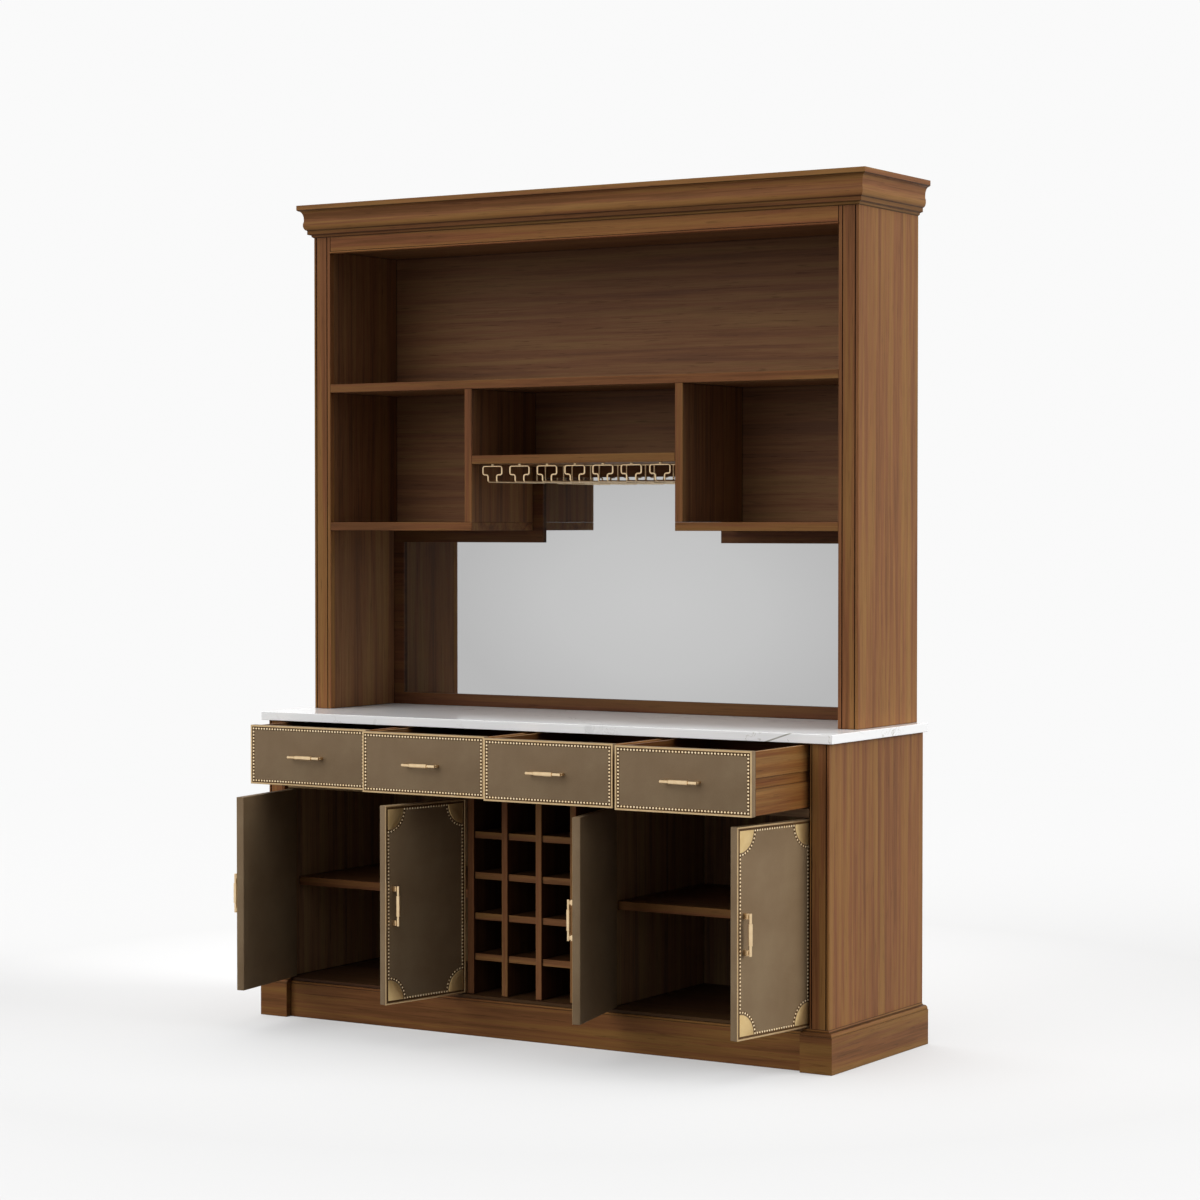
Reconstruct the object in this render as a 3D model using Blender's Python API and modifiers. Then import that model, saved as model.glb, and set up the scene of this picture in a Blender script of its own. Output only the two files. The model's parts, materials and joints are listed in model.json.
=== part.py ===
"""Wine bar cabinet: a mirrored hutch with a stemware rack over a marble-topped base.

The base has four drawers, two cupboards with paired doors and a bottle rack.
Sizes are in metres, +Z is up, the front faces -Y, and the origin is on the floor under the
middle of the plinth. Depths are counted back from the front plane of the base's pilasters.
"""
import math

import bmesh
import bpy
from mathutils import Matrix, Vector

# Overall sizes
TOTAL_H = 2.410
COUNTER_H = 0.900
BASE_W = 1.869
BODY_DEPTH = 0.564
HUTCH_INSET = 0.0185
HUTCH_SETBACK = 0.200

# Clearances
GAP = 0.0003
EASE = 0.001

# Plinth
PLINTH_FACE_H = 0.098
PLINTH_BLOCK_W = 0.096
PLINTH_RECESS = 0.0205
PLINTH_ROLL_R = 0.009
PLINTH_FILLET = 0.002
PLINTH_FLAT = 0.002
PLINTH_COVE = (0.0055, 0.0065)
PLINTH_RAIL_T = 0.045
PLINTH_BEARER_W = 0.040
PLINTH_LEDGE = 0.030
PLINTH_BEAD_R = 0.0035
PLINTH_BEAD_PROUD = 0.0012

# Carcass boards
PANEL_T = 0.020
LINING_T = 0.020
BACK_T = 0.012
BACK_RECESS = 0.011
MARBLE_T = 0.025
MARBLE_OVERHANG = 0.016
MARBLE_EASE = 0.0015
FLOOR_T = 0.0165
FLOOR_SETBACK = 0.009
DECK_T = 0.024
DECK_SETBACK = 0.008
DRAWER_OPENING_H = 0.175

# Pilasters of the base and stiles of the hutch
PILASTER_W = 0.057
PILASTER_T = 0.028
PILASTER_GROOVES = (0.005, 0.048)
REVEAL = 0.0075
STILE_W = 0.060
STILE_T = 0.020
STILE_GROOVES = (0.0115, 0.050)
GROOVE_W = 0.003
GROOVE_D = 0.004
CORNER_R = 0.003

# Drawers
DRAWER_COUNT = 4
DRAWER_PARTITION_T = 0.025
DRAWER_SIDE_GAP = 0.002
DRAWER_FRONT_T = 0.020
DRAWER_FRONT_GAP = 0.0015
DRAWER_FRONT_LIFT = 0.001
DRAWER_FRONT_DROP = 0.0024
DRAWER_BOX_L = 0.474
DRAWER_BOX_INSET = 0.0025
DRAWER_WALL_T = 0.012
DRAWER_BOTTOM_T = 0.009
DRAWER_PULLS = (0.175, 0.2285, 0.273, 0.308)
RUNNER_H = 0.028
RUNNER_DEPTH = 0.0055
RUNNER_CLEARANCE = 0.0005
RUNNER_LIFT = 0.073
RUNNER_BACK_GAP = 0.020
FACE_SETBACK = 0.006

# Doors
DOOR_T = 0.022
DOOR_EASE = 0.0015
DOOR_SIDE_GAP = 0.002
DOOR_MIDDLE_GAP = 0.003
DOOR_BOTTOM_GAP = 0.0025
DOOR_TOP_GAP = 0.0035
DOOR_ANGLES = (81.6, 78.4, 76.8, 80.0)
PIVOT_FROM_EDGE = 0.006
PIVOT_FROM_FACE = 0.008
PIVOT_R = 0.0025
PIVOT_REACH = 0.0055
SOCKET_EXTRA = 0.0015

# Cupboard shelves and bottle rack
CUPBOARD_SHELF_LIFT = 0.2685
CUPBOARD_SHELF_T = 0.024
CUPBOARD_SHELF_SETBACK = 0.032
WINE_HALF_W = 0.220
WINE_PARTITION_T = 0.022
WINE_SLAT_T = 0.0195
WINE_COLUMNS = 4
WINE_ROWS = 5
WINE_SHELF_SETBACK = 0.006

# Hutch shelves and mirror, heights over the counter and under the cornice
LONG_SHELF_LIFT = 0.949
CUBBY_SHELF_LIFT = 0.536
CENTRE_SHELF_LIFT = 0.730
HUTCH_SHELF_T = 0.0245
DIVIDER_T = 0.025
DIVIDER_X = 0.3558
CEILING_DROP = 0.042
CEILING_T = 0.025
FRIEZE_H = 0.049
FRIEZE_T = 0.020
FRIEZE_BEAD_R = 0.003
FRIEZE_QUIRK_W = 0.0015
FRIEZE_QUIRK_D = 0.002
FRIEZE_END_W = 0.002
FRIEZE_END_D = 0.003
MIRROR_STRIP_W = 0.036
MIRROR_FRAME_T = 0.015
MIRROR_T = 0.005
MIRROR_LAP = 0.010

# Cornice: each step of its profile as width and height, from the foot up
CORNICE_WALL = 0.023
CORNICE_CAP_T = 0.018
CORNICE_TOE = (0.0047, 0.003)
CORNICE_FILLET = (0.0006, 0.0045)
CORNICE_LEDGE = (0.0089, 0.0025)
CORNICE_BAND_H = 0.0115
CORNICE_ROLL = (0.0094, 0.0165)
CORNICE_ROLL_END = math.radians(41.0)
CORNICE_FLAT_H = 0.0062
CORNICE_COVE = (0.0117, 0.024)
CORNICE_CHAMFER = (0.0043, 0.003)
CORNICE_LIP_H = 0.014

# Stemware rack
HANGER_COUNT = 7
HANGER_PITCH = 0.0945
HANGER_HALF_W = 0.033
HANGER_NECK_HALF = 0.015
HANGER_HEAD_H = 0.025
HANGER_NECK_H = 0.0205
HANGER_WIRE_R = 0.0024
HANGER_BEND_R = 0.006
HANGER_DROP = 0.004
HANGER_SETBACK = 0.020
HANGER_LENGTH = 0.260
HANGER_END_L = 0.008
RACK_STRIP_T = 0.003
RACK_STRIP_W = 0.020
RACK_CLIP_W = 0.012
RACK_CLIP_D = 0.008
RACK_CLIP_WRAP = 0.0008

# Handles
HANDLE_L = 0.1125
HANDLE_END_R = 0.0043
HANDLE_GRIP_L = 0.058
HANDLE_GRIP_R = 0.0062
HANDLE_COLLAR_L = 0.003
HANDLE_COLLAR_R = 0.0053
HANDLE_CHAMFER = 0.001
HANDLE_POST_W = 0.016
HANDLE_POST_T = 0.0076
HANDLE_POST_INSET = 0.0005
HANDLE_STANDOFF = 0.0213
HANDLE_DROP = 0.002
HANDLE_FROM_DOOR_EDGE = 0.029

# Facets of round shapes
ARC_STEPS = 5
ROUND_SIDES = 16
BEND_STEPS = 2
WIRE_RESOLUTION = 2

# Places that follow from the sizes
PLINTH_STEP = PLINTH_FILLET + PLINTH_ROLL_R + PLINTH_FLAT + PLINTH_COVE[0]
PLINTH_H = PLINTH_FACE_H + PLINTH_FILLET + PLINTH_ROLL_R + PLINTH_COVE[1]
FRONT_Y = -(BODY_DEPTH - PLINTH_STEP) / 2
BACK_Y = FRONT_Y + BODY_DEPTH
BACK_PANEL_Y = BACK_Y - BACK_RECESS - BACK_T
INNER_BACK_Y = BACK_PANEL_Y - GAP
BASE_HALF = BASE_W / 2
OPEN_HALF = BASE_HALF - PILASTER_W - REVEAL
LINING_FRONT_Y = FRONT_Y + PILASTER_T + GAP
BODY_TOP_Z = COUNTER_H - MARBLE_T - GAP
FACE_Y = FRONT_Y + FACE_SETBACK
FLOOR_TOP_Z = PLINTH_FACE_H + FLOOR_T
DECK_TOP_Z = COUNTER_H - MARBLE_T - DRAWER_OPENING_H
DECK_UNDER_Z = DECK_TOP_Z - DECK_T
RUNNER_Z = DECK_TOP_Z + RUNNER_LIFT
CUPBOARD_SHELF_Z = FLOOR_TOP_Z + CUPBOARD_SHELF_LIFT
HUTCH_HALF = BASE_HALF - HUTCH_INSET
HUTCH_OPEN_HALF = HUTCH_HALF - STILE_W
HUTCH_FRONT_Y = FRONT_Y + HUTCH_SETBACK
HUTCH_LINING_Y = HUTCH_FRONT_Y + STILE_T + GAP
HUTCH_FOOT_Z = COUNTER_H + GAP
LONG_SHELF_Z = COUNTER_H + LONG_SHELF_LIFT
CUBBY_SHELF_Z = COUNTER_H + CUBBY_SHELF_LIFT
CENTRE_SHELF_Z = COUNTER_H + CENTRE_SHELF_LIFT
DIVIDER_IN = DIVIDER_X - DIVIDER_T / 2
DIVIDER_OUT = DIVIDER_X + DIVIDER_T / 2
WINE_OUT = WINE_HALF_W + WINE_PARTITION_T
DRAWER_CELL = (2 * OPEN_HALF - (DRAWER_COUNT - 1) * DRAWER_PARTITION_T) / DRAWER_COUNT
DRAWER_PITCH = DRAWER_CELL + DRAWER_PARTITION_T
DOOR_W = (OPEN_HALF - WINE_OUT - 2 * DOOR_SIDE_GAP - DOOR_MIDDLE_GAP) / 2
DOOR_LOW_Z = FLOOR_TOP_Z + DOOR_BOTTOM_GAP
DOOR_HIGH_Z = DECK_UNDER_Z - DOOR_TOP_GAP
PIVOT_Y = FACE_Y + PIVOT_FROM_FACE
PIVOT_XS = (
    -OPEN_HALF + DOOR_SIDE_GAP + PIVOT_FROM_EDGE,
    -WINE_OUT - DOOR_SIDE_GAP - PIVOT_FROM_EDGE,
    WINE_OUT + DOOR_SIDE_GAP + PIVOT_FROM_EDGE,
    OPEN_HALF - DOOR_SIDE_GAP - PIVOT_FROM_EDGE,
)

for old in list(bpy.data.objects):
    bpy.data.objects.remove(old, do_unlink=True)

PARTS = bpy.data.collections.new("wine_bar_cabinet")
CUTTERS = bpy.data.collections.new("cutters")
bpy.context.scene.collection.children.link(PARTS)
bpy.context.scene.collection.children.link(CUTTERS)


def make_material(name, colour, roughness, metallic=0.0):
    """A plain shader material of one colour."""
    material = bpy.data.materials.new(name)
    material.use_nodes = True
    shader = material.node_tree.nodes["Principled BSDF"]
    shader.inputs["Base Color"].default_value = (*colour, 1.0)
    shader.inputs["Roughness"].default_value = roughness
    shader.inputs["Metallic"].default_value = metallic
    material.diffuse_color = (*colour, 1.0)
    return material


WOOD = make_material("walnut", (0.19, 0.085, 0.034), 0.45)
DRAWER_WOOD = make_material("drawer_wood", (0.24, 0.11, 0.045), 0.5)
LEATHER = make_material("taupe_leather", (0.17, 0.125, 0.08), 0.6)
BRASS = make_material("brass", (0.62, 0.42, 0.2), 0.3, 1.0)
MARBLE = make_material("white_marble", (0.86, 0.85, 0.84), 0.15)
MIRROR = make_material("mirror_glass", (0.8, 0.8, 0.8), 0.03, 1.0)


def add_object(name, mesh, material, cutter=False):
    """Put a mesh in the scene under a name, as a part or as a cutter."""
    thing = bpy.data.objects.new(name, mesh)
    if cutter:
        CUTTERS.objects.link(thing)
        thing.hide_render = True
        thing.display_type = "WIRE"
    else:
        PARTS.objects.link(thing)
    if material is not None and not mesh.materials:
        mesh.materials.append(material)
    return thing


def block(name, low, high, material, ease=0.0, cutter=False):
    """A board between two corners, with its edges eased by a small bevel."""
    low, high = Vector(low), Vector(high)
    mesh = bpy.data.meshes.new(name)
    cage = bmesh.new()
    bmesh.ops.create_cube(cage, size=1.0, matrix=Matrix.Diagonal((*(high - low), 1.0)))
    cage.to_mesh(mesh)
    cage.free()
    board = add_object(name, mesh, material, cutter)
    board.location = (low + high) / 2
    if ease:
        bevel = board.modifiers.new("eased_edges", "BEVEL")
        bevel.width = ease
        bevel.segments = 1
    return board


def rod(name, radius, start, end, sides, material, cutter=False):
    """A straight round rod between two points."""
    start, end = Vector(start), Vector(end)
    mesh = bpy.data.meshes.new(name)
    cage = bmesh.new()
    bmesh.ops.create_cone(cage, cap_ends=True, segments=sides, radius1=radius, radius2=radius,
                          depth=(end - start).length)
    cage.to_mesh(mesh)
    cage.free()
    piece = add_object(name, mesh, material, cutter)
    piece.location = (start + end) / 2
    piece.rotation_euler = (end - start).to_track_quat("Z", "Y").to_euler()
    return piece


def change(target, operation, tool):
    """Cut a tool from a piece or join it to the piece."""
    step = target.modifiers.new(operation.lower(), "BOOLEAN")
    step.operation = operation
    step.solver = "EXACT"
    step.object = tool


def cut_block(target, low, high):
    """Cut a box-shaped space from a piece."""
    change(target, "DIFFERENCE", block(target.name + "_cut", low, high, None, cutter=True))


def join_block(target, low, high):
    """Join a box-shaped strip to a piece."""
    change(target, "UNION", block(target.name + "_strip", low, high, None, cutter=True))


def evaluated_mesh(thing, name):
    """The mesh that an object shows after its modifiers, welded and facing out."""
    bpy.context.view_layer.update()
    shown = thing.evaluated_get(bpy.context.evaluated_depsgraph_get())
    mesh = bpy.data.meshes.new_from_object(shown)
    mesh.name = name
    cage = bmesh.new()
    cage.from_mesh(mesh)
    bmesh.ops.remove_doubles(cage, verts=cage.verts, dist=0.00001)
    bmesh.ops.recalc_face_normals(cage, faces=cage.faces)
    cage.to_mesh(mesh)
    cage.free()
    return mesh


def curve_to_piece(name, curve, material, cutter):
    """Turn a curve object into a mesh piece in the same place."""
    mesh = evaluated_mesh(curve, name)
    piece = add_object(name, mesh, material, cutter)
    piece.matrix_world = curve.matrix_world.copy()
    data = curve.data
    bpy.data.objects.remove(curve, do_unlink=True)
    bpy.data.curves.remove(data)
    return piece


def prism(name, outlines, low, high, axis, material, cutter=False):
    """Extrude flat outlines between two levels along an axis; later outlines are holes."""
    data = bpy.data.curves.new(name, "CURVE")
    data.dimensions = "2D"
    data.fill_mode = "BOTH"
    data.extrude = (high - low) / 2
    for outline in outlines:
        spline = data.splines.new("POLY")
        spline.points.add(len(outline) - 1)
        for point, (u, v) in zip(spline.points, outline):
            point.co = (u, v, 0.0, 1.0)
        spline.use_cyclic_u = True
    curve = bpy.data.objects.new(name + "_outline", data)
    bpy.context.scene.collection.objects.link(curve)
    middle = (low + high) / 2
    if axis == "X":
        curve.location = (middle, 0, 0)
        curve.rotation_euler = (math.pi / 2, 0, math.pi / 2)
    elif axis == "Y":
        curve.location = (0, middle, 0)
        curve.rotation_euler = (math.pi / 2, 0, 0)
    else:
        curve.location = (0, 0, middle)
    return curve_to_piece(name, curve, material, cutter)


def tube(name, points, radius, material, cutter=False):
    """A round wire with filled ends along a line of points."""
    data = bpy.data.curves.new(name, "CURVE")
    data.dimensions = "3D"
    data.bevel_depth = radius
    data.bevel_resolution = WIRE_RESOLUTION
    data.use_fill_caps = True
    spline = data.splines.new("POLY")
    spline.points.add(len(points) - 1)
    for point, place in zip(spline.points, points):
        point.co = (*place, 1.0)
    curve = bpy.data.objects.new(name + "_line", data)
    bpy.context.scene.collection.objects.link(curve)
    return curve_to_piece(name, curve, material, cutter)


def arc(centre, radii, start, end, steps=ARC_STEPS):
    """Points along an ellipse's arc, ends included."""
    points = []
    for i in range(steps + 1):
        turn = start + (end - start) * i / steps
        points.append((centre[0] + radii[0] * math.cos(turn), centre[1] + radii[1] * math.sin(turn)))
    return points


def rounded_line(corners, radius):
    """A line of points with each right-angled corner turned into a short arc."""
    corners = [Vector(corner) for corner in corners]
    points = [corners[0]]
    for before, corner, after in zip(corners, corners[1:], corners[2:]):
        back = (before - corner).normalized()
        ahead = (after - corner).normalized()
        centre = corner + (back + ahead) * radius
        for i in range(BEND_STEPS + 1):
            turn = math.pi / 2 * i / BEND_STEPS
            points.append(centre - (ahead * math.cos(turn) + back * math.sin(turn)) * radius)
    points.append(corners[-1])
    return points


def moulded_block(name, half_width, front, profile, material):
    """A block whose front and sides follow a moulding profile with mitred corners.

    The profile runs upwards as overhang and height, and the back stays flat at BACK_Y.
    """
    cage = bmesh.new()
    rings = []
    for overhang, height in profile:
        side = half_width + overhang
        corners = ((-side, BACK_Y), (-side, front - overhang), (side, front - overhang), (side, BACK_Y))
        rings.append([cage.verts.new((x, y, height)) for x, y in corners])
    for lower, upper in zip(rings, rings[1:]):
        for i in range(len(lower) - 1):
            cage.faces.new((lower[i], lower[i + 1], upper[i + 1], upper[i]))
    cage.faces.new([ring[0] for ring in rings] + [ring[-1] for ring in reversed(rings)])
    cage.faces.new(rings[0])
    cage.faces.new(rings[-1])
    bmesh.ops.recalc_face_normals(cage, faces=cage.faces)
    mesh = bpy.data.meshes.new(name)
    cage.to_mesh(mesh)
    cage.free()
    return add_object(name, mesh, material)


def mirrored_pair(low_x, high_x, side):
    """The two X limits of a piece on one side of the middle, smaller first."""
    return sorted((low_x * side, high_x * side))


def side_name(name, side):
    """Name of the left (-X) or right (+X) copy of a piece."""
    return name + ("_left" if side < 0 else "_right")


def post_outline(inner, outer, front, thickness, grooves, side):
    """Plan of a side panel with its grooved front post, as one L-shaped board."""
    points = [(inner, front)]
    for groove in grooves:
        middle = inner + groove
        points.append((middle - GROOVE_W / 2, front))
        points.append((middle - GROOVE_W / 2, front + GROOVE_D))
        points.append((middle + GROOVE_W / 2, front + GROOVE_D))
        points.append((middle + GROOVE_W / 2, front))
    points += arc((outer - CORNER_R, front + CORNER_R), (CORNER_R, CORNER_R), -math.pi / 2, 0.0)
    points.append((outer, BACK_Y))
    points.append((outer - PANEL_T, BACK_Y))
    points.append((outer - PANEL_T, front + thickness))
    points.append((inner, front + thickness))
    return [(x * side, y) for x, y in points]


def plinth_profile():
    """The plinth's outer face and its roll and cove moulding, as overhang and height."""
    cove_w, cove_h = PLINTH_COVE
    roll_centre = (cove_w + PLINTH_FLAT, PLINTH_FACE_H + PLINTH_FILLET)
    profile = [(PLINTH_STEP, 0.0), (PLINTH_STEP, PLINTH_FACE_H)]
    profile.append((PLINTH_STEP - PLINTH_FILLET, PLINTH_FACE_H))
    profile += arc(roll_centre, (PLINTH_ROLL_R, PLINTH_ROLL_R), 0.0, math.pi / 2)
    profile += arc((cove_w, PLINTH_H), (cove_w, cove_h), -math.pi / 2, -math.pi)
    return profile


def cornice_profile():
    """The cornice's moulding from its foot up to its lip, as overhang and height over the foot."""
    x, z = CORNICE_TOE
    profile = [(0.0, 0.0), (x, z)]
    for step_x, step_z in (CORNICE_FILLET, CORNICE_LEDGE):
        x, z = x + step_x, z + step_z
        profile.append((x, z))
    roll_z = z + CORNICE_BAND_H + CORNICE_ROLL[1]
    profile += arc((x, roll_z), CORNICE_ROLL, -math.pi / 2, CORNICE_ROLL_END)
    x, z = profile[-1]
    z += CORNICE_FLAT_H
    profile += arc((x + CORNICE_COVE[0], z), CORNICE_COVE, math.pi, math.pi / 2)
    x += CORNICE_COVE[0] + CORNICE_CHAMFER[0]
    z += CORNICE_COVE[1] + CORNICE_CHAMFER[1]
    return profile + [(x, z), (x, z + CORNICE_LIP_H)]


CORNICE_Z = TOTAL_H - cornice_profile()[-1][1]
CEILING_Z = CORNICE_Z - CEILING_DROP
FRIEZE_Z = CORNICE_Z - FRIEZE_H


def make_plinth():
    """The plinth ring with corner blocks, a beaded middle rail and a centre bearer."""
    plinth = moulded_block("plinth", BASE_HALF, FRONT_Y, plinth_profile(), WOOD)
    block_in = BASE_HALF + PLINTH_STEP - PLINTH_BLOCK_W
    middle_y = FRONT_Y - PLINTH_STEP + PLINTH_RECESS
    floor_y = FRONT_Y + FLOOR_SETBACK - GAP
    rail_y = middle_y + PLINTH_RAIL_T
    back_rail_y = INNER_BACK_Y - PLINTH_LEDGE
    over = PLINTH_H + 0.01
    cut_block(plinth, (-block_in, FRONT_Y - 0.1, -0.01), (block_in, middle_y, over))
    cut_block(plinth, (-block_in, middle_y - 0.001, PLINTH_FACE_H), (block_in, floor_y + 0.001, over))
    floor_half = OPEN_HALF
    cut_block(plinth, (-floor_half, floor_y, PLINTH_FACE_H), (floor_half, BACK_PANEL_Y, over))
    bay_in = PLINTH_BEARER_W / 2
    bay_out = OPEN_HALF - PLINTH_LEDGE
    for side in (-1, 1):
        low, high = mirrored_pair(bay_in, bay_out, side)
        cut_block(plinth, (low, rail_y, -0.01), (high, back_rail_y, over))
    bead_y = middle_y + PLINTH_BEAD_R - PLINTH_BEAD_PROUD
    bead_z = PLINTH_FACE_H + PLINTH_BEAD_R
    bead = rod("plinth_bead", PLINTH_BEAD_R, (-block_in - PLINTH_BEAD_R, bead_y, bead_z),
               (block_in + PLINTH_BEAD_R, bead_y, bead_z), ROUND_SIDES, None, cutter=True)
    change(plinth, "UNION", bead)


def make_base_sides():
    """Outer side panels with grooved pilasters, and the linings that carry the outer runners."""
    foot = PLINTH_H + GAP
    for side in (-1, 1):
        outline = post_outline(BASE_HALF - PILASTER_W, BASE_HALF, FRONT_Y, PILASTER_T,
                               PILASTER_GROOVES, side)
        prism(side_name("base_side", side), [outline], foot, BODY_TOP_Z, "Z", WOOD)
        low, high = mirrored_pair(OPEN_HALF, OPEN_HALF + LINING_T, side)
        lining = block(side_name("base_lining", side), (low, LINING_FRONT_Y, foot),
                       (high, INNER_BACK_Y, BODY_TOP_Z), WOOD, EASE)
        low, high = mirrored_pair(OPEN_HALF - RUNNER_DEPTH, OPEN_HALF + LINING_T / 2, side)
        add_runner(lining, low, high)


def add_runner(carrier, low_x, high_x):
    """A drawer runner along a lining or a partition."""
    front = LINING_FRONT_Y + 2 * EASE
    rear = INNER_BACK_Y - RUNNER_BACK_GAP
    join_block(carrier, (low_x, front, RUNNER_Z), (high_x, rear, RUNNER_Z + RUNNER_H))


def make_base_carcass():
    """Floor, back, drawer deck and drawer partitions of the base."""
    inner = OPEN_HALF - GAP
    floor = block("base_floor", (-inner, FRONT_Y + FLOOR_SETBACK, PLINTH_FACE_H + GAP),
                  (inner, INNER_BACK_Y, FLOOR_TOP_Z), WOOD, EASE)
    deck = block("drawer_deck", (-inner, FRONT_Y + DECK_SETBACK, DECK_UNDER_Z),
                 (inner, INNER_BACK_Y, DECK_TOP_Z), WOOD, EASE)
    low_socket_z = DOOR_LOW_Z - PIVOT_REACH - SOCKET_EXTRA
    high_socket_z = DOOR_HIGH_Z + PIVOT_REACH + SOCKET_EXTRA
    for x in PIVOT_XS:
        low_socket = rod("floor_socket", PIVOT_R + GAP, (x, PIVOT_Y, low_socket_z),
                         (x, PIVOT_Y, FLOOR_TOP_Z + 0.01), ROUND_SIDES, None, cutter=True)
        change(floor, "DIFFERENCE", low_socket)
        high_socket = rod("deck_socket", PIVOT_R + GAP, (x, PIVOT_Y, DECK_UNDER_Z - 0.01),
                          (x, PIVOT_Y, high_socket_z), ROUND_SIDES, None, cutter=True)
        change(deck, "DIFFERENCE", high_socket)
    back_half = BASE_HALF - PANEL_T - GAP
    block("base_back", (-back_half, BACK_PANEL_Y, PLINTH_H + GAP),
          (back_half, BACK_PANEL_Y + BACK_T, BODY_TOP_Z), WOOD)
    for i in range(DRAWER_COUNT - 1):
        x = (i - (DRAWER_COUNT - 2) / 2) * DRAWER_PITCH
        half = DRAWER_PARTITION_T / 2
        partition = block(f"drawer_partition_{i + 1}", (x - half, LINING_FRONT_Y, DECK_TOP_Z + GAP),
                          (x + half, INNER_BACK_Y, BODY_TOP_Z), WOOD, EASE)
        add_runner(partition, x - half - RUNNER_DEPTH, x + half + RUNNER_DEPTH)


def make_marble_top():
    """The marble counter with eased edges."""
    half = BASE_HALF + MARBLE_OVERHANG
    top = block("marble_top", (-half, FRONT_Y - MARBLE_OVERHANG, COUNTER_H - MARBLE_T),
                (half, BACK_Y, COUNTER_H), MARBLE, MARBLE_EASE)
    top.modifiers["eased_edges"].segments = 2


def make_cupboard_shelves():
    """One fixed shelf in each cupboard, between the lining and the bottle rack's partition."""
    front = LINING_FRONT_Y + CUPBOARD_SHELF_SETBACK
    for side in (-1, 1):
        low, high = mirrored_pair(WINE_OUT + GAP, OPEN_HALF - GAP, side)
        block("shelf_left" if side < 0 else "shelf_right", (low, front, CUPBOARD_SHELF_Z),
              (high, INNER_BACK_Y, CUPBOARD_SHELF_Z + CUPBOARD_SHELF_T), WOOD, EASE)


def make_wine_rack():
    """Partitions beside the bottle rack, and its uprights and shelves halved into each other."""
    low_z = FLOOR_TOP_Z + GAP
    high_z = DECK_UNDER_Z - GAP
    for side in (-1, 1):
        low, high = mirrored_pair(WINE_HALF_W, WINE_OUT, side)
        block(side_name("wine_partition", side), (low, LINING_FRONT_Y, low_z),
              (high, INNER_BACK_Y, high_z), WOOD, EASE)
    cell_w = (2 * WINE_HALF_W - (WINE_COLUMNS - 1) * WINE_SLAT_T) / WINE_COLUMNS
    cell_h = (DECK_UNDER_Z - FLOOR_TOP_Z - (WINE_ROWS - 1) * WINE_SLAT_T) / WINE_ROWS
    half = WINE_SLAT_T / 2
    columns = [-WINE_HALF_W + (i + 1) * (cell_w + WINE_SLAT_T) - half for i in range(WINE_COLUMNS - 1)]
    levels = [FLOOR_TOP_Z + (i + 1) * (cell_h + WINE_SLAT_T) - half for i in range(WINE_ROWS - 1)]
    middle_y = (LINING_FRONT_Y + INNER_BACK_Y) / 2
    for i, x in enumerate(columns):
        upright = block(f"wine_upright_{i + 1}", (x - half, LINING_FRONT_Y, low_z),
                        (x + half, INNER_BACK_Y, high_z), WOOD, EASE)
        for z in levels:
            cut_block(upright, (x - 2 * half, middle_y - GAP, z - half - GAP),
                      (x + 2 * half, BACK_Y, z + half + GAP))
    for i, z in enumerate(levels):
        shelf_half = WINE_HALF_W - GAP
        shelf = block(f"wine_shelf_{i + 1}", (-shelf_half, LINING_FRONT_Y + WINE_SHELF_SETBACK, z - half),
                      (shelf_half, INNER_BACK_Y, z + half), WOOD, EASE)
        for x in columns:
            cut_block(shelf, (x - half - GAP, FRONT_Y - 0.1, z - 2 * half),
                      (x + half + GAP, middle_y + GAP, z + 2 * half))


def handle_mesh():
    """A turned bar handle along X on two oblong posts, which stand on the face at y = 0."""
    half = HANDLE_L / 2
    grip = HANDLE_GRIP_L / 2
    collar = grip + HANDLE_COLLAR_L
    profile = [(0.0, half), (HANDLE_END_R - HANDLE_CHAMFER, half), (HANDLE_END_R, half - HANDLE_CHAMFER)]
    profile += [(HANDLE_END_R, collar), (HANDLE_COLLAR_R, collar), (HANDLE_COLLAR_R, grip)]
    profile += [(HANDLE_GRIP_R - HANDLE_CHAMFER, grip), (HANDLE_GRIP_R, grip - HANDLE_CHAMFER)]
    profile += [(r, -z) for r, z in reversed(profile)]
    cage = bmesh.new()
    points = [cage.verts.new((r, 0.0, z)) for r, z in profile]
    for first, second in zip(points, points[1:]):
        cage.edges.new((first, second))
    mesh = bpy.data.meshes.new("handle_profile")
    cage.to_mesh(mesh)
    cage.free()
    bar = add_object("handle_bar", mesh, None, cutter=True)
    screw = bar.modifiers.new("turned", "SCREW")
    screw.steps = ROUND_SIDES
    screw.render_steps = ROUND_SIDES
    screw.use_merge_vertices = True
    screw.merge_threshold = 0.00001
    screw.use_smooth_shade = True
    turned = add_object("handle_turned", evaluated_mesh(bar, "handle_turned"), None, cutter=True)
    turned.location = (0, -HANDLE_STANDOFF, 0)
    turned.rotation_euler = (0, math.pi / 2, 0)
    post_out = half - HANDLE_POST_INSET
    for side in (-1, 1):
        near, far = mirrored_pair(post_out - HANDLE_POST_W, post_out, side)
        post = block("handle_post", (near, -HANDLE_STANDOFF, -HANDLE_POST_T / 2), (far, -GAP, HANDLE_POST_T / 2),
                     None, HANDLE_CHAMFER, cutter=True)
        change(turned, "UNION", post)
    mesh = evaluated_mesh(turned, "handle")
    mesh.transform(turned.matrix_world)
    mesh.materials.clear()
    mesh.materials.append(BRASS)
    mesh.shade_smooth()
    mesh.set_sharp_from_angle(angle=math.radians(30))
    return mesh


def place_under(parent, child, place, rotation=(0, 0, 0)):
    """Hang a piece under an empty, at a place in the empty's own frame."""
    child.parent = parent
    child.location = place
    child.rotation_euler = rotation


def add_axis(name, place, turn=0.0):
    """An empty on a joint's axis or path."""
    axis = bpy.data.objects.new(name, None)
    axis.location = place
    axis.rotation_euler = (0, 0, turn)
    PARTS.objects.link(axis)
    return axis


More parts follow.
